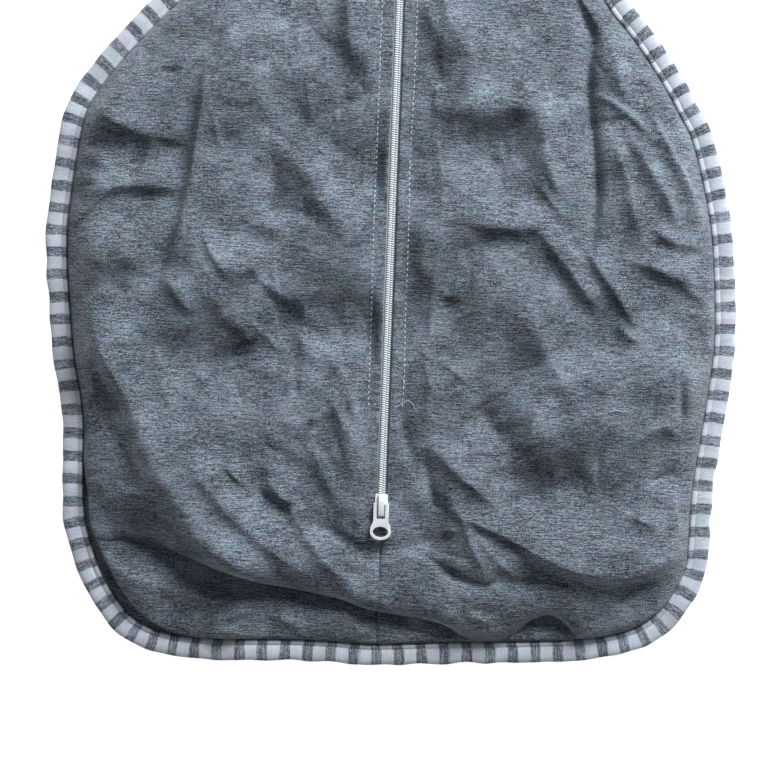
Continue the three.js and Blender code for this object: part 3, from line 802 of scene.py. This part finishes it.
# Yarns of the heather, as (stretch of the noise, detail, roughness, share of the colour).
YARNS = [
    ((0.12, 1.25, 1), 2.5, 0.6, 0.23),
    ((0.45, 1.6, 1), 2, 0.7, 0.27),
    ((1.4, 2.1, 1), 3, 0.8, 0.54),
]
CLOUDS = ((0.035, 0.06, 1), 2, 0.12)  # broad light and dark places: stretch, detail, share
# Tints, as (stretch of the noise, detail, where it starts and is full, strength, colour).
TINTS = [
    ((0.09, 0.11, 1), 2, (0.42, 0.68), 0.6, (0.99, 0.93, 1.06, 1)),
    ((0.07, 0.1, 1), 1, (0.52, 0.7), 0.7, (0.88, 1.02, 1.01, 1)),
]
YARN_POWER = 2.2  # above 1 there are more dark yarns than light ones
WALE_PITCH = 0.82
COURSE_PITCH = 0.64
KNIT_RELIEF = 0.5  # shares of the loops and of the yarns in the relief
YARN_RELIEF = 0.9


def heather_group():
    """Streaky mixed yarns of heather jersey, and the relief of its knitted loops."""
    tree = bpy.data.node_groups.new("Heather knit", "ShaderNodeTree")
    for name, kind in (("Cloth", "NodeSocketVector"), ("Dark", "NodeSocketColor"),
                       ("Light", "NodeSocketColor"), ("Contrast", "NodeSocketFloat")):
        tree.interface.new_socket(name, in_out="INPUT", socket_type=kind)
    tree.interface.new_socket("Color", in_out="OUTPUT", socket_type="NodeSocketColor")
    tree.interface.new_socket("Relief", in_out="OUTPUT", socket_type="NodeSocketFloat")
    n = Nodes(tree)
    given = n.add("NodeGroupInput").outputs
    cloth = given["Cloth"]

    mixed = 0.0
    for stretch, detail, roughness, share in YARNS:
        yarn = n.noise(cloth, NOISE_SCALE, stretch, detail, roughness)
        mixed = n.math("ADD", mixed, n.math("MULTIPLY", yarn, share))
    stretch, detail, share = CLOUDS
    clouds = n.math("SUBTRACT", n.noise(cloth, NOISE_SCALE, stretch, detail), 0.5)
    mixed = n.math("ADD", mixed, n.math("MULTIPLY", clouds, share))
    level = n.math("MULTIPLY", n.math("SUBTRACT", mixed, 0.5), given["Contrast"])
    level = n.math("POWER", n.math("ADD", level, 0.5, clamp=True), YARN_POWER)
    color = n.mix(level, given["Dark"], given["Light"])
    for stretch, detail, (start, full), strength, tint in TINTS:
        place = n.spread(n.noise(cloth, NOISE_SCALE, stretch, detail), start, full)
        color = n.mix(n.math("MULTIPLY", place, strength), color, tint, "MULTIPLY")

    split = n.add("ShaderNodeSeparateXYZ", inputs={0: cloth})
    wales = n.math("ABSOLUTE", n.wave(split.outputs[0], WALE_PITCH))
    courses = n.math("MULTIPLY", n.wave(split.outputs[1], COURSE_PITCH), 0.5)
    knit = n.math("MULTIPLY", wales, n.math("ADD", courses, 0.5))
    loops = n.math("MULTIPLY", knit, KNIT_RELIEF)
    relief = n.math("ADD", loops, n.math("MULTIPLY", mixed, YARN_RELIEF))
    out = n.add("NodeGroupOutput")
    tree.links.new(color, out.inputs["Color"])
    tree.links.new(relief, out.inputs["Relief"])
    return tree


heather = heather_group()


def use_heather(n, cloth, dark, light, contrast):
    """The heather's colour and relief, for one mix of yarns."""
    values = {"Cloth": cloth, "Dark": dark, "Light": light, "Contrast": contrast}
    group = n.add("ShaderNodeGroup", node_tree=heather, inputs=values)
    return group.outputs["Color"], group.outputs["Relief"]


def bump(n, shader, height, distance, strength):
    """Relief on a finish. The distance is its full height in metres."""
    values = {"Height": height, "Distance": distance, "Strength": strength}
    node = n.add("ShaderNodeBump", inputs=values)
    n.feed(node.outputs[0], shader, "Normal")


def grey_jersey():
    material, shader = new_material("Heather grey jersey", 0.95)
    shader.inputs["Sheen Weight"].default_value = 0.18
    shader.inputs["Sheen Roughness"].default_value = 0.5
    shader.inputs["Specular IOR Level"].default_value = 0.15
    n = Nodes(material.node_tree)
    cloth = n.add("ShaderNodeUVMap", uv_map="Cloth").outputs[0]
    color, relief = use_heather(n, cloth, rgb(18, 21, 25), rgb(146, 159, 172), contrast=5.8)
    n.feed(color, shader, "Base Color")
    bump(n, shader, relief, distance=0.0003, strength=0.35)
    return material


STRIPE_PERIOD = 12.2
STRIPE_GREY_SHARE = 0.46
STRIPE_SOFTNESS = 0.035  # of each stripe's edges, as a share of the period
STRIPE_WOBBLE = 2.2  # how far the edges wander
LIP_START = 8.6  # across the binding's cloth
LIP_STRIPE_SHIFT = 0.5  # the turned inner lip's stripes don't quite meet the outer ones
DINGY_FROM = 0.8  # random stripes above this are dimmed
DINGY_STRENGTH = 0.7
DINGY_TINT = (0.78, 0.74, 0.68, 1)


def striped_jersey():
    """Off-white and grey stripes that cross the binding, set out along its length."""
    material, shader = new_material("Striped jersey", 0.92)
    shader.inputs["Sheen Weight"].default_value = 0.12
    shader.inputs["Specular IOR Level"].default_value = 0.15
    n = Nodes(material.node_tree)
    cloth = n.add("ShaderNodeUVMap", uv_map="Cloth").outputs[0]
    split = n.add("ShaderNodeSeparateXYZ", inputs={0: cloth})
    across, along = split.outputs[0], split.outputs[1]
    wander = n.math("SUBTRACT", n.noise(cloth, NOISE_SCALE, (0.12, 0.12, 1)), 0.5)
    wobble = n.math("MULTIPLY", wander, STRIPE_WOBBLE * MM)
    on_lip = n.math("GREATER_THAN", across, LIP_START * MM)
    along = n.math("ADD", along, n.math("MULTIPLY", on_lip, LIP_STRIPE_SHIFT * MM))
    turns = n.math("DIVIDE", n.math("ADD", along, wobble), STRIPE_PERIOD * MM)
    wave = n.math("ABSOLUTE", n.math("SUBTRACT", n.math("FRACT", turns), 0.5))
    edge = STRIPE_GREY_SHARE / 2
    white = n.spread(wave, edge - STRIPE_SOFTNESS, edge + STRIPE_SOFTNESS)
    grey, relief = use_heather(n, cloth, rgb(40, 46, 52), rgb(176, 186, 200), contrast=5.5)
    pale, _ = use_heather(n, cloth, rgb(180, 188, 200), rgb(228, 235, 244), contrast=3.0)
    stripe = n.math("FLOOR", n.math("ADD", turns, 0.5))
    pick = n.add("ShaderNodeTexWhiteNoise", noise_dimensions="1D", inputs={"W": stripe})
    dingy = n.math("MULTIPLY", n.spread(pick.outputs["Value"], DINGY_FROM, 1.0), DINGY_STRENGTH)
    pale = n.mix(dingy, pale, DINGY_TINT, "MULTIPLY")
    color = n.mix(white, grey, pale)
    n.feed(color, shader, "Base Color")
    bump(n, shader, relief, distance=0.0004, strength=0.8)
    return material


UNEVEN_DARK = 0.86  # brightness of the darker places of a plain finish
UNEVEN_ROUGH = 0.16  # how much its roughness varies


def plain_material(name, color, roughness, scale, metallic=0.0, grain=0.0):
    """A finish with slight unevenness of colour and surface. A larger scale is a finer one."""
    material, shader = new_material(name, roughness, metallic)
    n = Nodes(material.node_tree)
    place = n.add("ShaderNodeTexCoord").outputs["Object"]
    cloud = n.noise(place, scale, detail=3)
    darker = tuple(UNEVEN_DARK * c for c in color[:3]) + (1,)
    n.feed(n.mix(cloud, darker, color), shader, "Base Color")
    rough = n.math("ADD", n.math("MULTIPLY", cloud, UNEVEN_ROUGH), roughness - UNEVEN_ROUGH / 2)
    n.feed(rough, shader, "Roughness")
    if grain:
        bump(n, shader, cloud, distance=grain, strength=0.6)
    return material


WARP_PITCH = 0.7
WEFT_PITCH = 0.6


def woven_tape():
    material, shader = new_material("Woven zip tape", 0.85)
    n = Nodes(material.node_tree)
    place = n.add("ShaderNodeTexCoord").outputs["Object"]
    split = n.add("ShaderNodeSeparateXYZ", inputs={0: place})
    weave = n.math("MULTIPLY", n.wave(split.outputs[0], WARP_PITCH), n.wave(split.outputs[1], WEFT_PITCH))
    weave = n.math("ADD", n.math("MULTIPLY", weave, 0.5), 0.5)
    n.feed(n.mix(weave, rgb(164, 170, 175), rgb(200, 206, 211)), shader, "Base Color")
    bump(n, shader, weave, distance=0.0002, strength=0.6)
    return material


jersey = grey_jersey()
stripes = striped_jersey()
nylon = plain_material("White nylon", rgb(224, 233, 239), 0.36, 900)
enamel = plain_material("White enamel", rgb(226, 233, 237), 0.3, 700, grain=0.00004)
steel = plain_material("Spring steel", rgb(182, 186, 190), 0.34, 900, metallic=1.0)
thread = plain_material("Pale thread", rgb(186, 197, 208), 0.7, 2500)
satin = plain_material("Label satin", rgb(240, 239, 233), 0.45, 1800)
tape = woven_tape()


def finish_piece(piece, material, body, slot, *nodes):
    """Puts a material on a piece, parents it to the body that it rides on, and hides the nodes that it
    stands for.
    """
    piece.data.materials.clear()
    piece.data.materials.append(material)
    if nodes:
        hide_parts(*nodes)
    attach(piece, body)


# ------------------------------------------------------------------ binding
# Round the section from the outer fold over the top, as (across, up, cloth across).
BINDING_SECTION = [
    (0.5, 0.35, 0.4), (0.0, 1.2, 0.0), (0.35, 2.2, 1.0), (1.4, 2.95, 2.2), (3.0, 3.3, 3.6),
    (5.0, 3.3, 5.2), (7.0, 3.05, 7.0), (8.0, 2.6, 8.0), (8.45, 2.25, 8.5), (8.8, 2.6, 8.9),
    (9.4, 2.95, 9.4), (10.5, 2.85, 10.3), (11.2, 2.2, 11.1), (11.3, 0.9, 11.8),
    (10.2, 0.3, 12.0), (8.0, 0.12, 13.0), (4.5, 0.12, 15.0), (1.6, 0.12, 17.0),
]
BINDING_CLOTH = 19.0  # cloth all round the section
BINDING_CLOTH_MIDDLE = 5
BINDING_SPACING = 1.5
PULLED_IN = 0.028  # how much the width varies, as a share
SWOLLEN = 0.07  # the same for the height


def binding(name, edge, inward_side, low, phase):
    """A folded strip along an edge, with its underside at low(share of the length)."""
    path = smooth_line(edge, spacing=BINDING_SPACING)
    inward = left_normals(path) * inward_side
    rows, columns = len(path), len(BINDING_SECTION)
    lengths = np.r_[0, np.cumsum(np.linalg.norm(np.diff(path, axis=0), axis=1))]
    across, up, cloth = np.array(BINDING_SECTION).T
    pull = Ripple(16)
    swell = Ripple(9)
    at = np.column_stack([lengths, np.zeros(rows)])
    wide = 1 + PULLED_IN * pull.at(at)
    tall = 1 + SWOLLEN * swell.at(at + 40)
    vertices = np.empty((rows, columns, 3))
    reach = (across - BINDING_WIDTH) * wide[:, None] + BINDING_WIDTH
    vertices[..., :2] = path[:, None] + inward[:, None] * reach[..., None]
    vertices[..., 2] = low(np.linspace(0, 1, rows))[:, None] + up * tall[:, None]
    faces, corners = grid_faces(rows, columns, inward_side < 0, wrapped=True)
    cloth_around = np.r_[cloth, BINDING_CLOTH]
    uv = np.column_stack([cloth_around[corners[:, 1]], lengths[corners[:, 0]] + phase])
    first = list(range(columns))
    last = list(range((rows - 1) * columns, rows * columns))
    faces += [first[::-1], last] if inward_side > 0 else [first, last[::-1]]
    for end in (0, lengths[-1]):
        uv = np.vstack([uv, [(BINDING_CLOTH_MIDDLE, end + phase)] * columns])
    return make_object(name, vertices.reshape(-1, 3), faces, uv)


def mirrored(points):
    return [(-x, y) for x, y in points]


HEM_JOIN_X = -9
HEM_JOIN_LAP = 0.8  # how far the two lengths run over each other at the join
right_path = [(HEM_JOIN_X - HEM_JOIN_LAP, -309.9)] + SIDE_RIGHT
left_path = [(HEM_JOIN_X, -309.8)] + SIDE_LEFT[1:]
# Each binding as (node, edge, side of the edge that it lies on, underside, start of its stripes).
for node, edge, side, low, phase in [
    ("edge_binding_right", right_path, 1, on_floor, 8.0),
    ("edge_binding_left", left_path, -1, on_floor, 3.0),
    ("armhole_binding_front_right", ARMHOLE, 1, armhole_height, 2.0),
    ("armhole_binding_back_right", ARMHOLE, 1, on_floor, 5.0),
    ("armhole_binding_front_left", mirrored(ARMHOLE), -1, armhole_height, 7.0),
    ("armhole_binding_back_left", mirrored(ARMHOLE), -1, on_floor, 1.0),
    ("neck_binding_front_right", FRONT_NECK, -1, neck_height, 4.0),
    ("neck_binding_front_left", mirrored(FRONT_NECK), 1, neck_height, 9.0),
    ("neck_binding_back", BACK_NECK + mirrored(BACK_NECK[-2::-1]), 1, on_floor, 0.0),
]:
    strip = binding("striped_" + node, edge, side, low, phase)
    finish_piece(strip, stripes, "bag", "striped_jersey", node)


# ------------------------------------------------------------------ front and back panels
right_half = front_half(1, SIDE_RIGHT, FOLDS_RIGHT + loose_folds(1))
left_half = front_half(-1, SIDE_LEFT, FOLDS_LEFT + loose_folds(-1))
halves = {"right": right_half, "left": left_half}
for name, half in halves.items():
    panel = front_panel("jersey_front_" + name, half)
    finish_piece(panel, jersey, "bag", "grey_jersey", "front_panel_" + name)

back, back_area = back_panel("jersey_back")
finish_piece(back, jersey, "bag", "grey_jersey", "back_panel")


UNDER_SPACING = (1.5, 2.0)  # between the points of an under layer, across and along


def under_layer(name, reach, ends, depth):
    """A strip of cloth under the front beside the zip, which follows the front's height."""
    xs = np.linspace(*reach, max(4, round(abs(reach[1] - reach[0]) / UNDER_SPACING[0])))
    ys = np.arange(ends[0], ends[1] + 1, UNDER_SPACING[1])
    flat = np.stack(np.meshgrid(xs, ys), axis=-1)
    points = flat.reshape(-1, 2)
    drapes = [drape(points, half) for half in (left_half, right_half)]
    height = np.where(points[:, 0] > 0, drapes[1][:, 2], drapes[0][:, 2])
    places = np.column_stack([points, height - depth])
    return cloth_grid(name, flat, places, flipped=False)


TAPE_REACH = (0.9, 11.5)
TAPE_ENDS = (-238, 248)
TAPE_DEPTH = 1.7  # under the front's upper side
GUARD_REACH = (-27, 22)
GUARD_ENDS = (-235, 245)
GUARD_DEPTH = 2.7
for name, sign in (("left", -1), ("right", 1)):
    reach = sorted(sign * x for x in TAPE_REACH)
    strip = under_layer("woven_tape_" + name, reach, TAPE_ENDS, TAPE_DEPTH)
    finish_piece(strip, tape, "bag", "tape_cloth", "zip_tape_" + name)
guard = under_layer("jersey_guard", GUARD_REACH, GUARD_ENDS, GUARD_DEPTH)
finish_piece(guard, jersey, "bag", "grey_jersey", "zip_guard")


# ------------------------------------------------------------------ repeated small pieces
def repeat_tree(name, follow):
    """Small rounded pieces set out along a path, turned to follow it or not."""
    tree = bpy.data.node_groups.new(name, "GeometryNodeTree")
    sockets = [("Path", "NodeSocketGeometry"), ("Spacing", "NodeSocketFloat"),
               ("Size", "NodeSocketVector"), ("Turn", "NodeSocketVector"),
               ("Offset", "NodeSocketVector"), ("Finish", "NodeSocketMaterial")]
    for socket, kind in sockets:
        tree.interface.new_socket(socket, in_out="INPUT", socket_type=kind)
    tree.interface.new_socket("Geometry", in_out="OUTPUT", socket_type="NodeSocketGeometry")
    n = Nodes(tree)
    given = n.add("NodeGroupInput").outputs
    curve = n.add("GeometryNodeMeshToCurve", inputs={"Mesh": given["Path"]})
    points = n.add("GeometryNodeCurveToPoints", mode="LENGTH", inputs={
        "Curve": curve.outputs[0], "Length": given["Spacing"]})
    ball = n.add("GeometryNodeMeshUVSphere", inputs={"Segments": 8, "Rings": 5, "Radius": 1.0})
    shaped = n.add("GeometryNodeTransform", inputs={
        "Geometry": ball.outputs[0], "Scale": given["Size"]})
    turned = n.add("GeometryNodeTransform", inputs={
        "Geometry": shaped.outputs[0], "Rotation": given["Turn"], "Translation": given["Offset"]})
    placed = n.add("GeometryNodeInstanceOnPoints", inputs={
        "Points": points.outputs["Points"], "Instance": turned.outputs[0]})
    if follow:
        tree.links.new(points.outputs["Rotation"], placed.inputs["Rotation"])
    real = n.add("GeometryNodeRealizeInstances", inputs={"Geometry": placed.outputs[0]})
    smooth = n.add("GeometryNodeSetShadeSmooth", inputs={"Geometry": real.outputs[0]})
    finish = n.add("GeometryNodeSetMaterial", inputs={
        "Geometry": smooth.outputs[0], "Material": given["Finish"]})
    out = n.add("NodeGroupOutput")
    tree.links.new(finish.outputs[0], out.inputs["Geometry"])
    return tree


def repeated(name, tree, path, **values):
    """The plain mesh that a repeating tree makes along a path given in millimetres."""
    mesh = bpy.data.meshes.new(name + "_path")
    edges = [(i, i + 1) for i in range(len(path) - 1)]
    mesh.from_pydata((np.asarray(path) * MM).tolist(), edges, [])
    carrier = scene_object(name + "_path", mesh)
    modifier = carrier.modifiers.new("Repeat", "NODES")
    modifier.node_group = tree
    for item in tree.interface.items_tree:
        if item.in_out == "INPUT" and item.name in values:
            modifier[item.identifier] = values[item.name]
    evaluated = carrier.evaluated_get(bpy.context.evaluated_depsgraph_get())
    result = bpy.data.meshes.new_from_object(evaluated)
    result.name = name
    bpy.data.objects.remove(carrier)
    return scene_object(name, result)


set_out = repeat_tree("Pieces along a path", follow=False)
set_out_turned = repeat_tree("Pieces that follow a path", follow=True)


# ------------------------------------------------------------------ zip
COIL_PITCH = 1.2
TOOTH_START = 0.8  # from the zip's ends to the first and last teeth
TOOTH_END = 0.6
TOOTH_SIZE = (1.14, 0.5, 0.82)  # half sizes
TOOTH_PLACE = 1.0  # from the middle of the chain
TOOTH_TURN = -7  # degrees
CORE_RADIUS = 0.42
CORE_DROP = 0.15
CORE_SPACING = 3.0


def in_metres(values):
    return tuple(value * MM for value in values)


def chain_place(y, drop=0.0):
    """Points along the chain's middle, or a little below it."""
    return np.column_stack([np.zeros_like(y), y, np.full_like(y, CHAIN_MIDDLE - drop)])


for name, sign in (("right", 1), ("left", -1)):
    start = ZIP_START + TOOTH_START + (0 if sign > 0 else COIL_PITCH / 2)
    path = chain_place(np.array([start, ZIP_END - TOOTH_END]))
    teeth = repeated(
        "coil_teeth_" + name, set_out, path,
        Spacing=COIL_PITCH * MM,
        Size=in_metres(TOOTH_SIZE),
        Turn=(0.0, 0.0, math.radians(TOOTH_TURN)),
        Offset=in_metres((sign * TOOTH_PLACE, 0.0, 0.0)),
        Finish=nylon,
    )
    finish_piece(teeth, nylon, "bag", "coil_nylon", "zip_coil_" + name)


def rod(name, path, radius, sides=8):
    """A thin round rod along a path."""
    path = np.asarray(path, float)
    turns = np.linspace(0, 2 * math.pi, sides, endpoint=False)
    along = np.gradient(path, axis=0)
    along /= np.linalg.norm(along, axis=1)[:, None]
    across = np.cross(along, (0, 0, 1.0))
    across /= np.linalg.norm(across, axis=1)[:, None]
    up = np.cross(across, along)
    ring = across[:, None] * np.cos(turns)[:, None] + up[:, None] * np.sin(turns)[:, None]
    vertices = (path[:, None] + radius * ring).reshape(-1, 3)
    faces, _ = grid_faces(len(path), sides, flipped=False, wrapped=True)
    last = (len(path) - 1) * sides
    faces += [list(range(sides))[::-1], list(range(last, last + sides))]
    return make_object(name, vertices, faces)


core_path = chain_place(np.arange(ZIP_START + 1, ZIP_END, CORE_SPACING), CORE_DROP)
core = rod("coil_core", core_path, CORE_RADIUS)
finish_piece(core, nylon, "bag", "coil_nylon")

STITCH_X = 9.1  # from the zip's middle to each row of stitches
STITCH_PITCH = 3.05
STITCH_ENDS = (-170, 236)
STITCH_WANDER = (0.25, 37)  # to each side, and how far along it takes
STITCH_LIFT = 0.16  # of the stitches' middles over the cloth
STITCH_SIZE = (0.32, 0.3, 0.9)  # half sizes, the last one along the row
STITCH_TURN = 12  # degrees
for name, half in halves.items():
    y = np.arange(*STITCH_ENDS, 1.5)
    wander, length = STITCH_WANDER
    x = half["sign"] * STITCH_X + wander * np.sin(y / length)
    row = drape(np.column_stack([x, y]), half)
    row[:, 2] += STITCH_LIFT
    stitches = repeated(
        "stitches_" + name, set_out_turned, row,
        Spacing=STITCH_PITCH * MM,
        Size=in_metres(STITCH_SIZE),
        Turn=(0.0, math.radians(STITCH_TURN), 0.0),
        Offset=(0.0, 0.0, 0.0),
        Finish=thread,
    )
    finish_piece(stitches, thread, "bag", "thread", "zip_topstitch_" + name)


# Loose ends of thread, and a bit of lint, that lie on the right half.
LOOSE_THREADS = [
    [(5.5, -171), (8.5, -169.6), (12, -167.5), (14.5, -169), (15.8, -172)],
    [(118, -171.4), (121.5, -170.4), (125, -170.8), (128, -170.6)],
    [(8, -155), (9.4, -158), (9, -161.5)],
]
THREAD_RADIUS = 0.2
THREAD_LIFT = 0.25
for number, points in enumerate(LOOSE_THREADS, 1):
    flat = smooth_line(points, spacing=0.6)
    route = drape(flat, right_half) + np.array([0, 0, THREAD_LIFT])
    end = rod(f"loose_thread_{number}", route, THREAD_RADIUS, sides=5)
    finish_piece(end, thread, "bag", "thread")


# ------------------------------------------------------------------ care label
LABEL_WIDTH = 30
LABEL_Y = (258, 276)
LABEL_Z = 2.5
LABEL_THICKNESS = 0.3
LABEL_CURL = 1.6
LABEL_WAVE = 0.3


def care_label():
    """A blank label sewn down along its top edge, which curls a little at its lower corners."""
    xs = np.linspace(-LABEL_WIDTH / 2, LABEL_WIDTH / 2, 25)
    flat = np.stack(np.meshgrid(xs, np.linspace(*LABEL_Y, 15)), axis=-1)
    x, y = flat.reshape(-1, 2).T
    free = (LABEL_Y[1] - y) / (LABEL_Y[1] - LABEL_Y[0])
    curl = LABEL_CURL * free**2 * (2 * x / LABEL_WIDTH) ** 2 + LABEL_WAVE * np.sin(x / 4) * free
    places = np.column_stack([x, y, LABEL_Z + curl])
    piece = cloth_grid("satin_label", flat, places, flipped=False)
    thicken(piece, LABEL_THICKNESS)
    return piece


label = care_label()
finish_piece(label, satin, "bag", "label_satin", "care_label")


# ------------------------------------------------------------------ rounded copies of the metal parts
MERGE_GAP = 0.001
FLAT_ANGLE = 2  # faces that meet at less than this many degrees are one
EDGE_ANGLE = 32  # and edges sharper than this are rounded
EDGE_SEGMENTS = 3


def rounded_copy(node, name, radius):
    """A CAD part with its edges rounded over."""
    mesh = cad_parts[node].data.copy()
    piece = scene_object(name, mesh)
    shape = bmesh.new()
    shape.from_mesh(mesh)
    bmesh.ops.remove_doubles(shape, verts=shape.verts, dist=MERGE_GAP * MM)
    flat = math.radians(FLAT_ANGLE)
    bmesh.ops.dissolve_limit(shape, angle_limit=flat, verts=shape.verts, edges=shape.edges)
    shape.to_mesh(mesh)
    shape.free()
    bevel = piece.modifiers.new("Rounding", "BEVEL")
    bevel.width = radius * MM
    bevel.segments = EDGE_SEGMENTS
    bevel.limit_method = "ANGLE"
    bevel.angle_limit = math.radians(EDGE_ANGLE)
    mesh.polygons.foreach_set("use_smooth", [True] * len(mesh.polygons))
    return piece


# Painted parts of a slider, as (part, radius of its edges, body that it rides on).
SLIDER_PARTS = [("body", 0.25, "slider"), ("cap", 0.35, "slider"), ("pull", 0.38, "pull")]
for slider in ("bottom", "top"):
    for part, radius, body in SLIDER_PARTS:
        node = f"{slider}_slider_{part}"
        piece = rounded_copy(node, f"enamel_{node}", radius)
        finish_piece(piece, enamel, f"{slider}_{body}", "white_enamel", node)
for node, material in (
    ("bottom_slider_lock_spring", steel), ("top_slider_lock_spring", steel),
    ("zip_top_stop_left", enamel), ("zip_top_stop_right", enamel), ("zip_bottom_stop", enamel),
):
    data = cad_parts[node].data
    data.materials.clear()
    data.materials.append(material)


# ------------------------------------------------------------------ camera, light and floor
VIEW_CENTRE = (-1.2, -158.8)
VIEW_WIDTH = 410
VIEW_TURN = 2.1  # degrees
LENS = 110
SENSOR = 36
CAMERA_LIFT = 5  # over the distance at which the floor would fill the width
# Lights, as (name, place in metres, diameter in metres, power in watts).
LIGHTS = [("Key", (0.8, 1.3, 1.17), 1.15, 72), ("Fill", (-1.2, -0.8, 1.5), 1.6, 2)]
LIT_PLACE = (0, -0.1, 0)
ROOM_LIGHT = 0.13
FLOOR_HALF = 3.0  # metres
FLOOR_WHITE = 0.93
FLOOR_GLOW = 0.85  # lifts the bag's shadow off the white floor


def make_camera():
    data = bpy.data.cameras.new("Camera")
    data.lens = LENS
    data.sensor_width = SENSOR
    camera = scene_object("Camera", data)
    distance = VIEW_WIDTH * LENS / SENSOR + CAMERA_LIFT
    camera.location = (VIEW_CENTRE[0] * MM, VIEW_CENTRE[1] * MM, distance * MM)
    camera.rotation_euler = (0, 0, math.radians(VIEW_TURN))
    data.clip_start = 0.01
    data.clip_end = 20
    bpy.context.scene.camera = camera


def area_light(name, place, size, power):
    data = bpy.data.lights.new(name, "AREA")
    data.shape = "DISK"
    data.size = size
    data.energy = power
    light = scene_object(name, data)
    light.location = place
    direction = Vector(LIT_PLACE) - Vector(place)
    light.rotation_euler = direction.to_track_quat("-Z", "Y").to_euler()


def room_light():
    world = bpy.data.worlds.new("Studio")
    bpy.context.scene.world = world
    world.use_nodes = True
    background = world.node_tree.nodes["Background"]
    background.inputs["Color"].default_value = (1, 1, 1, 1)
    background.inputs["Strength"].default_value = ROOM_LIGHT


def pale_floor():
    mesh = bpy.data.meshes.new("Floor")
    corners = [(-1, -1, 0), (1, -1, 0), (1, 1, 0), (-1, 1, 0)]
    mesh.from_pydata((np.array(corners) * FLOOR_HALF).tolist(), [], [(0, 1, 2, 3)])
    floor = scene_object("Floor", mesh)
    material, shader = new_material("Pale floor", 0.9)
    shader.inputs["Base Color"].default_value = (FLOOR_WHITE, FLOOR_WHITE, FLOOR_WHITE, 1)
    shader.inputs["Emission Color"].default_value = (1, 1, 1, 1)
    shader.inputs["Emission Strength"].default_value = FLOOR_GLOW
    mesh.materials.append(material)
    return floor


make_camera()
for light in LIGHTS:
    area_light(*light)
room_light()
bpy.context.scene.view_settings.view_transform = "Standard"
floor = pale_floor()
